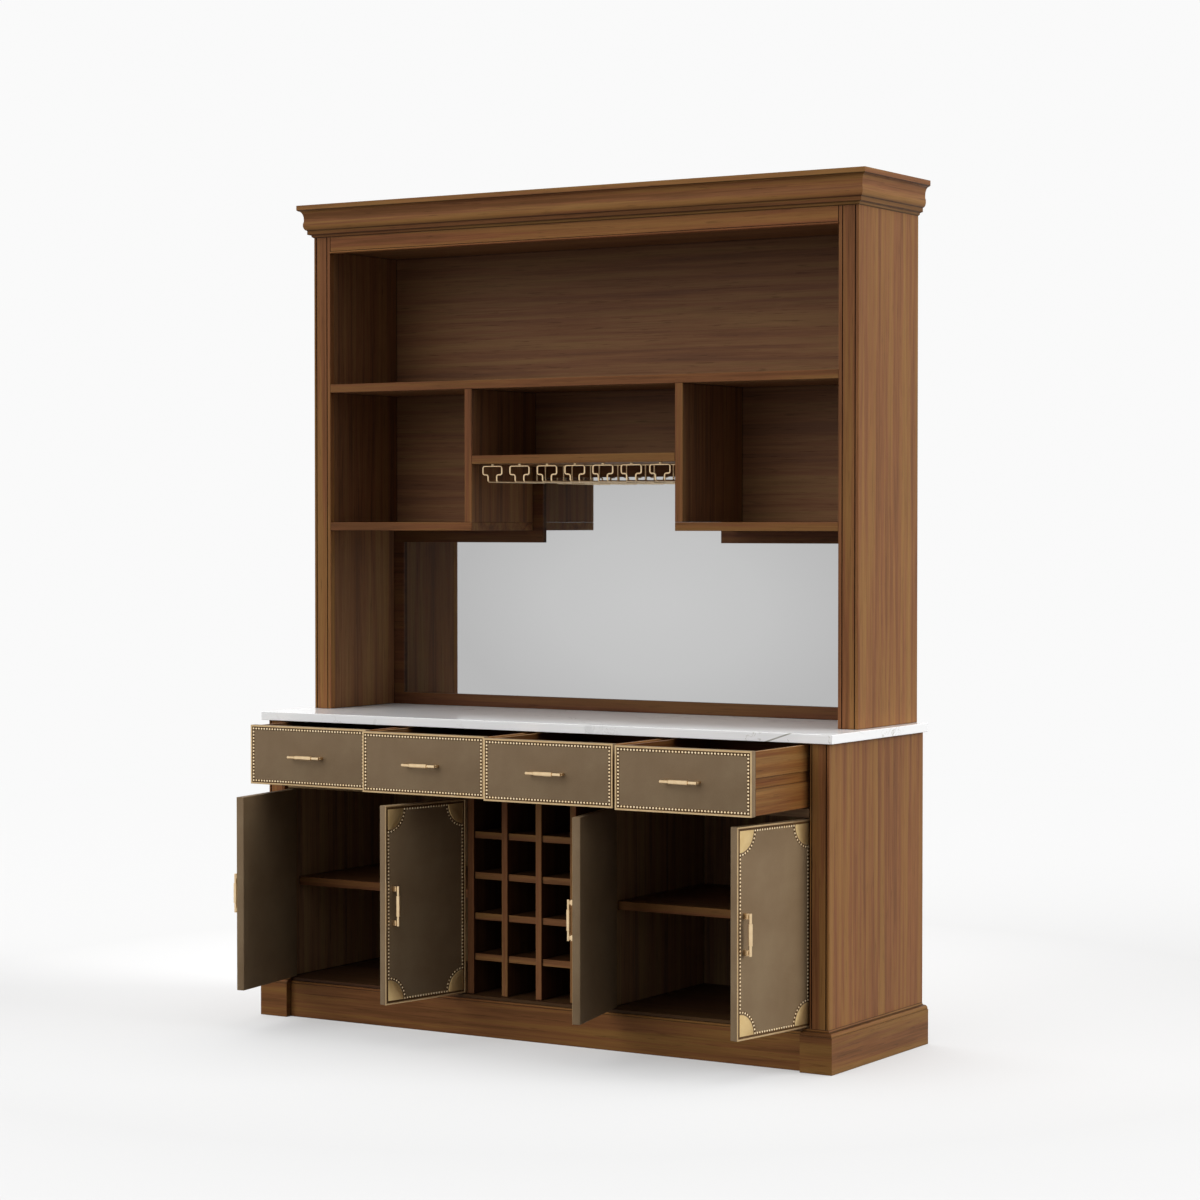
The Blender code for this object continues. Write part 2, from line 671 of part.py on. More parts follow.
def make_drawer(number, handle):
    """One drawer: padded front, open box with runner grooves, and handle, pulled out to its place."""
    x = (number - 1 - (DRAWER_COUNT - 1) / 2) * DRAWER_PITCH
    low_z = DECK_TOP_Z + DRAWER_FRONT_LIFT
    high_z = BODY_TOP_Z - DRAWER_FRONT_DROP
    slide = add_axis(f"drawer_{number}_path", (x, FACE_Y - DRAWER_PULLS[number - 1], 0))
    front_half = DRAWER_CELL / 2 - DRAWER_FRONT_GAP
    front = block(f"drawer_{number}_front", (-front_half, 0, low_z), (front_half, DRAWER_FRONT_T, high_z),
                  LEATHER, DOOR_EASE)
    place_under(slide, front, front.location)
    box_half = DRAWER_CELL / 2 - DRAWER_SIDE_GAP
    box_y = DRAWER_FRONT_T + GAP
    box_low = low_z + DRAWER_BOX_INSET
    box_high = high_z - DRAWER_BOX_INSET
    box = block(f"drawer_{number}_box", (-box_half, box_y, box_low),
                (box_half, box_y + DRAWER_BOX_L, box_high), DRAWER_WOOD, EASE)
    inner = box_half - DRAWER_WALL_T
    groove_in = DRAWER_CELL / 2 - RUNNER_DEPTH - RUNNER_CLEARANCE
    tools = [block(f"drawer_{number}_inside", (-inner, box_y + DRAWER_WALL_T, box_low + DRAWER_BOTTOM_T),
                   (inner, box_y + DRAWER_BOX_L - DRAWER_WALL_T, box_high + 0.01), None, cutter=True)]
    for side in (-1, 1):
        low, high = mirrored_pair(groove_in, DRAWER_CELL / 2, side)
        tools.append(block(f"drawer_{number}_groove", (low, box_y - 0.01, RUNNER_Z - GAP),
                           (high, box_y + DRAWER_BOX_L + 0.01, RUNNER_Z + RUNNER_H + GAP), None, cutter=True))
    for tool in tools:
        place_under(slide, tool, tool.location)
        change(box, "DIFFERENCE", tool)
    place_under(slide, box, box.location)
    pull = add_object(f"drawer_{number}_handle", handle, BRASS)
    place_under(slide, pull, (0, 0, (low_z + high_z) / 2 - HANDLE_DROP))


def make_door(number, handle):
    """One door leaf on its pivot pins, with its handle, opened to its place."""
    hand = 1 if number % 2 else -1
    pivot = add_axis(f"door_{number}_axis", (PIVOT_XS[number - 1], PIVOT_Y, 0),
                     -hand * math.radians(DOOR_ANGLES[number - 1]))
    near, far = sorted((-PIVOT_FROM_EDGE * hand, (DOOR_W - PIVOT_FROM_EDGE) * hand))
    leaf = block(f"door_{number}_leaf", (near, -PIVOT_FROM_FACE, DOOR_LOW_Z),
                 (far, DOOR_T - PIVOT_FROM_FACE, DOOR_HIGH_Z), LEATHER, DOOR_EASE)
    place_under(pivot, leaf, leaf.location)
    pin = rod(f"door_{number}_pin", PIVOT_R, (0, 0, DOOR_LOW_Z - PIVOT_REACH),
              (0, 0, DOOR_HIGH_Z + PIVOT_REACH), ROUND_SIDES, None, cutter=True)
    place_under(pivot, pin, pin.location, pin.rotation_euler)
    change(leaf, "UNION", pin)
    pull = add_object(f"door_{number}_handle", handle, BRASS)
    handle_x = (DOOR_W - PIVOT_FROM_EDGE - HANDLE_FROM_DOOR_EDGE) * hand
    place_under(pivot, pull, (handle_x, -PIVOT_FROM_FACE, (DOOR_LOW_Z + DOOR_HIGH_Z) / 2 - HANDLE_DROP),
                (0, math.pi / 2, 0))


def make_hutch_sides():
    """Hutch side panels with grooved stiles, and the linings behind the stiles."""
    for side in (-1, 1):
        outline = post_outline(HUTCH_OPEN_HALF, HUTCH_HALF, HUTCH_FRONT_Y, STILE_T, STILE_GROOVES, side)
        prism(side_name("hutch_side", side), [outline], HUTCH_FOOT_Z, CORNICE_Z - GAP, "Z", WOOD)
        low, high = mirrored_pair(HUTCH_OPEN_HALF, HUTCH_OPEN_HALF + LINING_T, side)
        block(side_name("hutch_lining", side), (low, HUTCH_LINING_Y, HUTCH_FOOT_Z),
              (high, INNER_BACK_Y, CEILING_Z - GAP), WOOD, EASE)


def make_hutch_top():
    """Back, ceiling, frieze rail and hollow moulded cornice of the hutch."""
    inner = HUTCH_HALF - PANEL_T - GAP
    block("hutch_back", (-inner, BACK_PANEL_Y, HUTCH_FOOT_Z),
          (inner, BACK_PANEL_Y + BACK_T, CORNICE_Z - GAP), WOOD)
    block("hutch_ceiling", (-inner, HUTCH_LINING_Y, CEILING_Z),
          (inner, INNER_BACK_Y, CEILING_Z + CEILING_T), WOOD, EASE)
    bead = arc((HUTCH_FRONT_Y, FRIEZE_Z + FRIEZE_BEAD_R), (FRIEZE_BEAD_R, FRIEZE_BEAD_R),
               -math.pi / 2, -3 * math.pi / 2)
    quirk_z = FRIEZE_Z + 2 * FRIEZE_BEAD_R
    quirk_y = HUTCH_FRONT_Y + FRIEZE_QUIRK_D
    quirk = [(quirk_y, quirk_z), (quirk_y, quirk_z + FRIEZE_QUIRK_W),
             (HUTCH_FRONT_Y, quirk_z + FRIEZE_QUIRK_W)]
    section = bead + quirk + [(HUTCH_FRONT_Y, CORNICE_Z - GAP), (HUTCH_FRONT_Y + FRIEZE_T, CORNICE_Z - GAP),
                              (HUTCH_FRONT_Y + FRIEZE_T, FRIEZE_Z)]
    frieze_half = HUTCH_OPEN_HALF - GAP
    frieze = prism("frieze_rail", [section], -frieze_half, frieze_half, "X", WOOD)
    for side in (-1, 1):
        low, high = mirrored_pair(frieze_half - FRIEZE_END_W, frieze_half + FRIEZE_END_W, side)
        cut_block(frieze, (low, HUTCH_FRONT_Y - FRIEZE_END_D, quirk_z + FRIEZE_QUIRK_W / 2),
                  (high, HUTCH_FRONT_Y + FRIEZE_END_D, CORNICE_Z))
    profile = [(x, CORNICE_Z + z) for x, z in cornice_profile()]
    cornice = moulded_block("cornice", HUTCH_HALF, HUTCH_FRONT_Y, profile, WOOD)
    hollow = HUTCH_HALF - CORNICE_WALL
    cut_block(cornice, (-hollow, HUTCH_FRONT_Y + CORNICE_WALL, CORNICE_Z - 0.01),
              (hollow, BACK_Y - CORNICE_WALL, TOTAL_H - CORNICE_CAP_T))


def make_hutch_shelves():
    """Long shelf, cubby shelves and dividers, and the centre shelf over the glasses."""
    def shelf(name, low_x, high_x, low_z):
        return block(name, (low_x, HUTCH_FRONT_Y, low_z), (high_x, INNER_BACK_Y, low_z + HUTCH_SHELF_T),
                     WOOD, EASE)

    inner = HUTCH_OPEN_HALF - GAP
    shelf("long_shelf", -inner, inner, LONG_SHELF_Z)
    shelf("centre_shelf", -DIVIDER_IN + GAP, DIVIDER_IN - GAP, CENTRE_SHELF_Z)
    for side in (-1, 1):
        low, high = mirrored_pair(DIVIDER_IN, inner, side)
        shelf(side_name("cubby_shelf", side), low, high, CUBBY_SHELF_Z)
        low, high = mirrored_pair(DIVIDER_IN, DIVIDER_OUT, side)
        block(side_name("cubby_divider", side),
              (low, HUTCH_FRONT_Y, CUBBY_SHELF_Z + HUTCH_SHELF_T + GAP),
              (high, INNER_BACK_Y, LONG_SHELF_Z - GAP), WOOD, EASE)


def stepped_outline(inset):
    """Outline of the mirror's frame, wide below and narrow above, drawn in by an inset."""
    wide = HUTCH_OPEN_HALF - GAP - inset
    narrow = DIVIDER_IN - GAP - inset
    low = HUTCH_FOOT_Z + inset
    step = CUBBY_SHELF_Z - GAP - inset
    top = CENTRE_SHELF_Z - GAP - inset
    return [(-wide, low), (wide, low), (wide, step), (narrow, step),
            (narrow, top), (-narrow, top), (-narrow, step), (-wide, step)]


def make_mirror():
    """The stepped wooden mirror frame, rebated at the back, and the mirror glass in the rebate."""
    frame_y = INNER_BACK_Y - MIRROR_FRAME_T
    frame = prism("mirror_frame", [stepped_outline(0.0), stepped_outline(MIRROR_STRIP_W)],
                  frame_y, INNER_BACK_Y, "Y", WOOD)
    glass_inset = MIRROR_STRIP_W - MIRROR_LAP
    glass_y = INNER_BACK_Y - GAP - MIRROR_T
    rebate = prism("mirror_rebate", [stepped_outline(glass_inset)], glass_y - GAP, BACK_Y, "Y",
                   None, cutter=True)
    change(frame, "DIFFERENCE", rebate)
    prism("mirror", [stepped_outline(glass_inset + GAP)], glass_y, glass_y + MIRROR_T, "Y", MIRROR)


def make_stemware_rack():
    """Seven bent-wire hangers for stemmed glasses under the centre shelf, on one back strip."""
    under = CENTRE_SHELF_Z - GAP
    head_z = under - HANGER_DROP - HANGER_WIRE_R
    shoulder_z = head_z - HANGER_HEAD_H
    rail_z = shoulder_z - HANGER_NECK_H
    front_y = HUTCH_FRONT_Y + HANGER_SETBACK
    rear_y = front_y + HANGER_LENGTH
    strip_z = under - RACK_STRIP_T
    reach = (HANGER_COUNT - 1) / 2 * HANGER_PITCH + HANGER_HALF_W
    rack = block("stemware_rack", (-reach, rear_y - RACK_STRIP_W / 2, strip_z),
                 (reach, rear_y + RACK_STRIP_W / 2, under), BRASS)
    for i in range(HANGER_COUNT):
        x = (i - (HANGER_COUNT - 1) / 2) * HANGER_PITCH
        neck, head = HANGER_NECK_HALF, HANGER_HALF_W
        half_path = [(neck, rear_y, strip_z + RACK_STRIP_T / 2), (neck, rear_y, rail_z),
                     (neck, front_y, rail_z), (neck, front_y, shoulder_z),
                     (head, front_y, shoulder_z), (head, front_y, head_z)]
        path = [(x - u, v, w) for u, v, w in half_path]
        path += [(x + u, v, w) for u, v, w in reversed(half_path)]
        points = rounded_line(path, HANGER_BEND_R)
        points.insert(1, points[0] - Vector((0, 0, HANGER_END_L)))
        points.insert(-1, points[-1] - Vector((0, 0, HANGER_END_L)))
        wire = tube(f"hanger_wire_{i + 1}", points, HANGER_WIRE_R, None, cutter=True)
        clip_z = head_z - HANGER_WIRE_R - RACK_CLIP_WRAP
        join_block(wire, (x - RACK_CLIP_W / 2, front_y - RACK_CLIP_D / 2, clip_z),
                   (x + RACK_CLIP_W / 2, front_y + RACK_CLIP_D / 2, under))
        change(rack, "UNION", wire)


make_plinth()
make_base_sides()
make_base_carcass()
make_marble_top()
make_cupboard_shelves()
make_wine_rack()
make_hutch_sides()
make_hutch_top()
make_hutch_shelves()
make_mirror()
make_stemware_rack()
HANDLE = handle_mesh()
for index in range(1, DRAWER_COUNT + 1):
    make_drawer(index, HANDLE)
for index in range(1, len(PIVOT_XS) + 1):
    make_door(index, HANDLE)
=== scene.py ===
"""Looks of the wine bar cabinet: wood, leather, brass, marble and mirror around the fixed frame.

Everything is in metres in the cabinet's own frame: +Z up, the front faces -Y, origin on the floor.
"""
import json
import math

import bmesh
import bpy
from mathutils import Matrix, Vector

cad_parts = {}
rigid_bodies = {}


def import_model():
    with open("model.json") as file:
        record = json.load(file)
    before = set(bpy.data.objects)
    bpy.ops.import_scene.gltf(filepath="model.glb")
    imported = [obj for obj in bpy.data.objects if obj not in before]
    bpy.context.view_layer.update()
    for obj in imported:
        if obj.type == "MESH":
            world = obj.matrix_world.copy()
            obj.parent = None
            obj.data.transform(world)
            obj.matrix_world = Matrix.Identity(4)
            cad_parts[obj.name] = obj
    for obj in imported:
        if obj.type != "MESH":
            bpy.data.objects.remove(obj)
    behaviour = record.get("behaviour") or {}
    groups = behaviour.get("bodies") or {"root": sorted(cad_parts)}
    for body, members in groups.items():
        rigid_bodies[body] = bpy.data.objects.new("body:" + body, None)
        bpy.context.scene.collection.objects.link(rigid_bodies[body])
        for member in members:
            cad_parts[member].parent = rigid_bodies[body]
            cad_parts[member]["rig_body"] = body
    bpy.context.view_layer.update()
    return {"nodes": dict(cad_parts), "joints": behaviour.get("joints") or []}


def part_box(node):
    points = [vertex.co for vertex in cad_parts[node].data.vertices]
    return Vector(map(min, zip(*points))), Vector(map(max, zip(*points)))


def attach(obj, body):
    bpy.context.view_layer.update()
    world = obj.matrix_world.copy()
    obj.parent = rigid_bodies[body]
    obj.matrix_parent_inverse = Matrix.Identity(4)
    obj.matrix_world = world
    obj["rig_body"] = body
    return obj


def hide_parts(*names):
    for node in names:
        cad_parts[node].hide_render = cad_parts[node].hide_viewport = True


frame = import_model()
NODES = frame["nodes"]
JOINTS = {joint["child"]: joint for joint in frame["joints"]}
NUMBERS = range(1, 5)

# Camera, read from the photograph's edges
CAMERA_PLACE = (4.63267, -7.36219, 1.45553)
CAMERA_YAW = 31.89
CAMERA_PITCH = -1.44
CAMERA_LENS = 90.779
CAMERA_SENSOR = 36.0
CAMERA_NEAR = 0.1
CAMERA_FAR = 200.0

# Angles between faces up to which a piece is shaded smooth, in degrees
BOARD_SMOOTH = 32.0
HANDLE_SMOOTH = 35
TRIM_SMOOTH = 40
PANEL_SMOOTH = 50
NAIL_SMOOTH = 60

# Copies of the boards: points nearer than this are one, and faces flatter than this are one
WELD_REACH = 0.00001
FLAT_ANGLE = 0.2

# How far a normal goes along an axis on a face that looks that way, and on one square to it
FACING = 0.5
SQUARE = 0.999

# Grooves cut in a front: how deep the walls' middles and the bottoms lie
GROOVE_NEAR = 0.0006
GROOVE_FAR = 0.0045

# Trim of the leather faces
SHOULDER = 0.7
BORDER_W = 0.0050
BORDER_H = 0.0011
BORDER_LIP = 0.0003
BORDER_EASE = 0.0012
BAND_OUT = 0.0140
BAND_H = 0.0003
BAND_EASE = 0.0003
BAND_LAP = 0.0004
BAND_TRIM = 0.001
NAIL_R = 0.0029
NAIL_H = 0.0010
NAIL_ROWS = ((1.0, 0.0), (0.94, 0.60), (0.70, 0.94))
NAIL_SIDES = 10
DRAWER_NAIL_PITCH = 0.0099
DRAWER_NAIL_RISE = 0.0093
DOOR_NAIL_PITCH = 0.0100
DRAWER_NAIL_INSET = 0.0104
DOOR_NAIL_INSET = 0.0130
PLATE_INSET = 0.0105
PLATE_R = 0.0575
PLATE_H = 0.0012
PLATE_LIP = 0.0004
PLATE_EASE = 0.0014
NAIL_ARC_R = 0.0635
ARC_STEPS = 18
PANEL_ROUND = 0.0015
ROUND_SEGMENTS = 3

# Door leaf about its pivot
DOOR_W = 0.3105
DOOR_T = 0.022
DOOR_PIVOT_INSET = 0.006
DOOR_FACE_OUT = 0.008
DOOR_PIN_REACH = 0.0055

# Painted shade where wood meets wood: how far it reaches and how dark it is, in corners (from
# ambient occlusion) and in the quirks of mouldings, which are given by their heights
CORNER_SHADE_REACH = 0.0045
CORNER_SHADE_TONE = 0.25
CORNER_SHADE_OPEN = (0.35, 0.92)
QUIRK_SHADE_REACH = 0.0022
QUIRK_SHADE_CORE = 0.3
QUIRK_SHADE_TONE = 0.42
CORNICE_QUIRKS = (2.3151, 2.3228, 2.3355, 2.3952)
PLINTH_QUIRKS = (0.1096, 0.1155)

# Leather: its creased cells, as a texture scale, and the share of a cell that its crease takes
LEATHER_CELLS = 620.0
LEATHER_CREASE = 0.12

# Widths of the marble's veins, in the values of their noises
WIDE_VEIN = 0.022
THIN_VEIN = 0.007

# Mirror: its painted reflection's brightest place, how its tone falls off from there along X and Z,
# and the tone at some distances
MIRROR_LIGHT_MIDDLE = (0.08, 0.0, 1.22)
MIRROR_LIGHT_STRETCH = (1.0, 0.0, 1.8)
MIRROR_LIGHT_TONES = ((0.10, 0.60), (0.40, 0.575), (0.75, 0.50))
MIRROR_LIGHT_CLOUD = 0.08

# One clear vein through the marble near its right front corner: where it starts on the front, how
# far it moves along X for each metre up and each metre back, how far back it reaches, how wide
# its core and the whole of it are to each side, how strong it is and how far it wanders
VEIN_START = (0.730, -0.3118, 0.875)
VEIN_RISE = 2.96
VEIN_RUN = 0.8
VEIN_REACH = 0.22
VEIN_CORE = 0.002
VEIN_EDGE = 0.009
VEIN_DEPTH = 0.9
VEIN_WOBBLE = 0.03

# Handle
HANDLE_L = 0.112
HANDLE_SIDES = 28
HANDLE_END_R = 0.0042
HANDLE_GRIP_L = 0.058
HANDLE_GRIP_R = 0.0061
HANDLE_EASE = 0.0008
HANDLE_EASE_STEP = 0.0002
HANDLE_END_EASE = 0.0010
HANDLE_END_STEP = 0.0003
HANDLE_GROOVE_NEAR = 0.0002
HANDLE_GROOVE_FAR = 0.0016
HANDLE_COLLAR = 0.0018
HANDLE_STANDOFF = 0.0213
HANDLE_POST_W = 0.0156
HANDLE_POST_T = 0.0072
HANDLE_POST_INSET = 0.0006
HANDLE_POST_ROUND = 0.0010
HANDLE_POST_SINK = 0.0002
HANDLE_NECK_L = 0.0028
HANDLE_NECK_LAP = 0.0015
HANDLE_NECK_IN_X = 0.0025
HANDLE_NECK_IN_Z = 0.0012
HANDLE_NECK_ROUND = 0.0005
HANDLE_DROP = 0.002
HANDLE_FROM_DOOR_EDGE = 0.029

# Wire rack for stemmed glasses
HANGERS = 7
HANGER_PITCH = 0.0945
HANGER_L = 0.260
HANGER_HEAD = 0.033
HANGER_NECK = 0.015
HANGER_RISE = 0.025
HANGER_RAIL_DROP = 0.0205
HANGER_TOP_GAP = 0.004
HANGER_TAIL_GAP = 0.0015
HANGER_FRONT_INSET = 0.004
WIRE_R = 0.0024
WIRE_SIDES = 12
WIRE_BEND = 0.006
WIRE_BEND_STEPS = 5
CLIP_HALF_W = 0.004
CLIP_FRONT = 0.001
CLIP_REAR = 0.004
STRIP_HALF_W = 0.010
STRIP_T = 0.003
RACK_ROUND = 0.0006

# Between these lie most of a noise's values
NOISE_SPAN = (0.3, 0.7)

# Layers of the wood's figure: how long and how narrow their marks are, and the noise's detail,
# roughness and distortion
WOOD_NOISE = {
    "hue": (0.9, 34.0, 6.0, 0.66, 0.35),
    "figure": (1.8, 110.0, 5.0, 0.64, 0.3),
    "lines": (3.0, 210.0, 3.0, 0.6, 0.2),
    "fibres": (9.0, 460.0, 3.0, 0.6, 0.0),
    "dashes": (13.0, 240.0, 2.0, 0.5, 0.0),
    "patches": (1.7, 42.0, 4.0, 0.6, 0.3),
    "clouds": (0.9, 3.0, 3.0, 0.5, 0.0),
}
# Layers that darken or lighten the wood: between the first two values, the tone goes from the
# third to the fourth
WOOD_TONES = (
    ("fibres", (0.3, 0.7, 0.91, 1.08)),
    ("dashes", (0.28, 0.37, 0.70, 1.0)),
    ("lines", (0.33, 0.45, 0.85, 1.0)),
    ("patches", (0.57, 0.72, 1.0, 0.86)),
    ("clouds", (0.3, 0.7, 0.95, 1.05)),
)
# Places of the wood's colours on the hue layer, and how boards differ in place and in tone
WOOD_HUE_STOPS = (0.38, 0.46, 0.53, 0.62)
BOARD_SHIFT = (37.0, 91.0, 53.0)
BOARD_TONES = (0.97, 1.03)


# Node tree helpers


class Tree:
    """A material's node tree with short ways to add and join nodes."""

    def __init__(self, name):
        self.material = bpy.data.materials.new(name)
        self.material.use_nodes = True
        self.nodes = self.material.node_tree.nodes
        self.links = self.material.node_tree.links
        self.shader = self.nodes["Principled BSDF"]

    def put(self, socket, value):
        """Join an output to a socket, or set the socket's own value."""
        if isinstance(value, bpy.types.NodeSocket):
            self.links.new(value, socket)
        else:
            socket.default_value = value

    def add(self, kind, **settings):
        """A node of one kind, with its properties set."""
        node = self.nodes.new(kind)
        for key, value in settings.items():
            setattr(node, key, value)
        return node

    def math(self, operation, first, second=0.0, third=0.0):
        """A Math node's output."""
        node = self.add("ShaderNodeMath", operation=operation)
        for socket, value in zip(node.inputs, (first, second, third)):
            self.put(socket, value)
        return node.outputs[0]

    def vector(self, operation, first, second, result="Vector"):
        """A Vector Math node's output."""
        node = self.add("ShaderNodeVectorMath", operation=operation)
        self.put(node.inputs[0], first)
        self.put(node.inputs[1], second)
        return node.outputs[result]

    def length(self, value):
        """A vector's length."""
        return self.vector("LENGTH", value, (0.0, 0.0, 0.0), "Value")

    def parts(self, value):
        """A vector's X, Y and Z."""
        node = self.add("ShaderNodeSeparateXYZ")
        self.put(node.inputs[0], value)
        return tuple(node.outputs)

    def noise(self, place, scale, detail, roughness, distortion=0.0):
        """A Noise Texture's value at a place."""
        node = self.add("ShaderNodeTexNoise")
        self.put(node.inputs["Vector"], place)
        node.inputs["Scale"].default_value = scale
        node.inputs["Detail"].default_value = detail
        node.inputs["Roughness"].default_value = roughness
        node.inputs["Distortion"].default_value = distortion
        return node.outputs["Fac"]

    def grey(self, value):
        """A vector with one value in all three places."""
        node = self.add("ShaderNodeCombineXYZ")
        for socket in node.inputs:
            self.put(socket, value)
        return node.outputs[0]

    def ramp(self, value, stops):
        """A Color Ramp's colour; stops are (position, colour)."""
        node = self.add("ShaderNodeValToRGB")
        self.put(node.inputs[0], value)
        stops = list(stops)
        elements = node.color_ramp.elements
        while len(elements) < len(stops):
            elements.new(0.5)
        for element, (position, colour) in zip(elements, stops):
            element.position = position
            element.color = (*colour, 1.0)
        return node.outputs["Color"]

    def map_range(self, value, low, high, to_low, to_high, curve="LINEAR"):
        """A Map Range node's value."""
        node = self.add("ShaderNodeMapRange", interpolation_type=curve)
        for socket, item in zip(node.inputs, (value, low, high, to_low, to_high)):
            self.put(socket, item)
        return node.outputs[0]

    def between(self, share, first, second):
        """A value that goes from the first to the second as the share goes from 0 to 1."""
        return self.map_range(share, 0.0, 1.0, first, second)

    def from_noise(self, value, low, high):
        """A noise's values turned into a span of others."""
        return self.map_range(value, *NOISE_SPAN, low, high)

    def mix(self, factor, first, second):
        """A colour mix."""
        node = self.add("ShaderNodeMix", data_type="RGBA")
        self.put(node.inputs[0], factor)
        for socket, colour in ((node.inputs[6], first), (node.inputs[7], second)):
            self.put(socket, (*colour, 1.0) if isinstance(colour, tuple) else colour)
        return node.outputs[2]

    def bump(self, height, strength, distance):
        """Drive the shader's normal from a height."""
        node = self.add("ShaderNodeBump")
        node.inputs["Strength"].default_value = strength
        node.inputs["Distance"].default_value = distance
        self.put(node.inputs["Height"], height)
        self.put(self.shader.inputs["Normal"], node.outputs[0])

    def painted_corner_shade(self, reach, tone):
        """Painted shade: a tone that falls off in corners, quirks and joints narrower than the
        reach.
        """
        node = self.add("ShaderNodeAmbientOcclusion", samples=4)
        node.inputs["Distance"].default_value = reach
        return self.map_range(node.outputs["AO"], *CORNER_SHADE_OPEN, tone, 1.0)

    def shadow_lines(self, heights, reach, tone):
        """Painted shadow: a tone that falls off close to certain heights on the piece."""
        z = self.parts(self.object_place())[2]
        total = 1.0
        for height in heights:
            away = self.math("ABSOLUTE", self.math("SUBTRACT", z, height))
            shade = self.map_range(away, reach * QUIRK_SHADE_CORE, reach, tone, 1.0)
            total = self.math("MULTIPLY", total, shade)
        return total

    def object_place(self):
        """The point on the piece, in the piece's own coordinates."""
        return self.add("ShaderNodeTexCoord").outputs["Object"]


def srgb(code):
    """Linear colour from a hex code."""
    values = [int(code[i:i + 2], 16) / 255 for i in (0, 2, 4)]
    return tuple(v / 12.92 if v <= 0.04045 else ((v + 0.055) / 1.055) ** 2.4 for v in values)


def palette(*codes):
    """Linear colours from hex codes."""
    return [srgb(code) for code in codes]


def tint(colours, factors):
    """Colours scaled channel by channel."""
    return [tuple(value * factor for value, factor in zip(colour, factors)) for colour in colours]


# Materials


def wood_material(name, grain, colours, tone_low=0.92, tone_high=1.10, quirks=()):
    """Satin walnut with its grain along one axis; each board reads its own part of the figure."""
    tree = Tree(name)
    board = tree.add("ShaderNodeObjectInfo").outputs["Random"]
    shift = tree.add("ShaderNodeCombineXYZ")
    for socket, factor in zip(shift.inputs, BOARD_SHIFT):
        tree.put(socket, tree.math("MULTIPLY", board, factor))
    place = tree.vector("ADD", tree.object_place(), shift.outputs[0])

    def stretched(along, across):
        factors = [across, across, across]
        factors["XYZ".index(grain)] = along
        return tree.vector("MULTIPLY", place, tuple(factors))

    layers = {layer: tree.noise(stretched(along, across), 1.0, *rest)
              for layer, (along, across, *rest) in WOOD_NOISE.items()}
    colour = tree.ramp(layers["hue"], zip(WOOD_HUE_STOPS, colours))
    tones = [tree.from_noise(layers["figure"], tone_low, tone_high)]
    tones += [tree.map_range(layers[layer], *span) for layer, span in WOOD_TONES]
    tones.append(tree.between(board, *BOARD_TONES))
    # Painted shade: darker in corners and joints
    tones.append(tree.painted_corner_shade(CORNER_SHADE_REACH, CORNER_SHADE_TONE))
    # Painted shadow lines in the quirks of mouldings
    if quirks:
        tones.append(tree.shadow_lines(quirks, QUIRK_SHADE_REACH, QUIRK_SHADE_TONE))
    total = tones[0]
    for tone in tones[1:]:
        total = tree.math("MULTIPLY", total, tone)
    tree.put(tree.shader.inputs["Base Color"], tree.vector("MULTIPLY", colour, tree.grey(total)))
    tree.put(tree.shader.inputs["Roughness"], tree.from_noise(layers["fibres"], 0.50, 0.40))
    tree.shader.inputs["Specular IOR Level"].default_value = 0.08
    dents = tones[2]
    height = tree.math("MULTIPLY_ADD", dents, 0.8, tree.math("MULTIPLY", layers["fibres"], 0.35))
    tree.bump(height, strength=0.18, distance=0.0004)
    return tree.material


WALNUT = palette("7c5438", "8e5f42", "956a44", "9a7248")
WARM = palette("6e3c1c", "7e4e28", "895c30", "966b3c")
SHADED = palette("684a34", "7c5438", "815c3c", "886540")
OUTER = tint(WALNUT, (0.80, 0.76, 0.62))
INNER = tint(SHADED, (0.99, 1.01, 1.05))
# Painted light: a lighter, cooler copy for the insides of the cupboards and drawer bay, making up
# for the dim, warm light that bounces there
CUPBOARD_LIT = tint(SHADED, (1.35, 1.65, 2.00))
# Painted shade: a darker copy for the plinth, low by the floor
SHADED_PLINTH = tint(WALNUT, (0.64, 0.60, 0.44))
BACK = tint(palette("6e4c36", "795339", "7e5a3d", "82603f"), (0.99, 1.01, 1.05))
WOOD_X = wood_material("walnut_outer_grain_x", "X", OUTER)
WOOD_Z = wood_material("walnut_outer_grain_z", "Z", OUTER)
INNER_X = wood_material("walnut_inner_grain_x", "X", INNER)
INNER_Z = wood_material("walnut_inner_grain_z", "Z", INNER)
BACK_X = wood_material("walnut_back_grain_x", "X", BACK, 0.95, 1.06)
CUPBOARD_LIT_X = wood_material("walnut_cupboard_lit_grain_x", "X", CUPBOARD_LIT)
CUPBOARD_LIT_Y = wood_material("walnut_cupboard_lit_grain_y", "Y", CUPBOARD_LIT)
CUPBOARD_LIT_Z = wood_material("walnut_cupboard_lit_grain_z", "Z", CUPBOARD_LIT)
FRAME_WOOD = wood_material("walnut_mirror_frame", "X", tint(WALNUT, (0.33, 0.29, 0.28)))
EDGE_WOOD = wood_material("walnut_shelf_edge", "X", tint(WALNUT, (0.60, 0.55, 0.45)))
# Painted shade: a much darker copy for the tops of the cupboards' shelves
SHADED_SHELF_WOOD = wood_material("walnut_shelf_shade_grain_x", "X", tint(WALNUT, (0.36, 0.33, 0.30)))
UPRIGHT_WOOD = wood_material("walnut_upright_grain_z", "Z", tint(WALNUT, (0.62, 0.55, 0.48)))
RACK_EDGE_X = wood_material("walnut_rack_edge_grain_x", "X", tint(WALNUT, (0.76, 0.76, 0.66)))
RACK_EDGE_Z = wood_material("walnut_rack_edge_grain_z", "Z", tint(WALNUT, (0.77, 0.73, 0.68)))
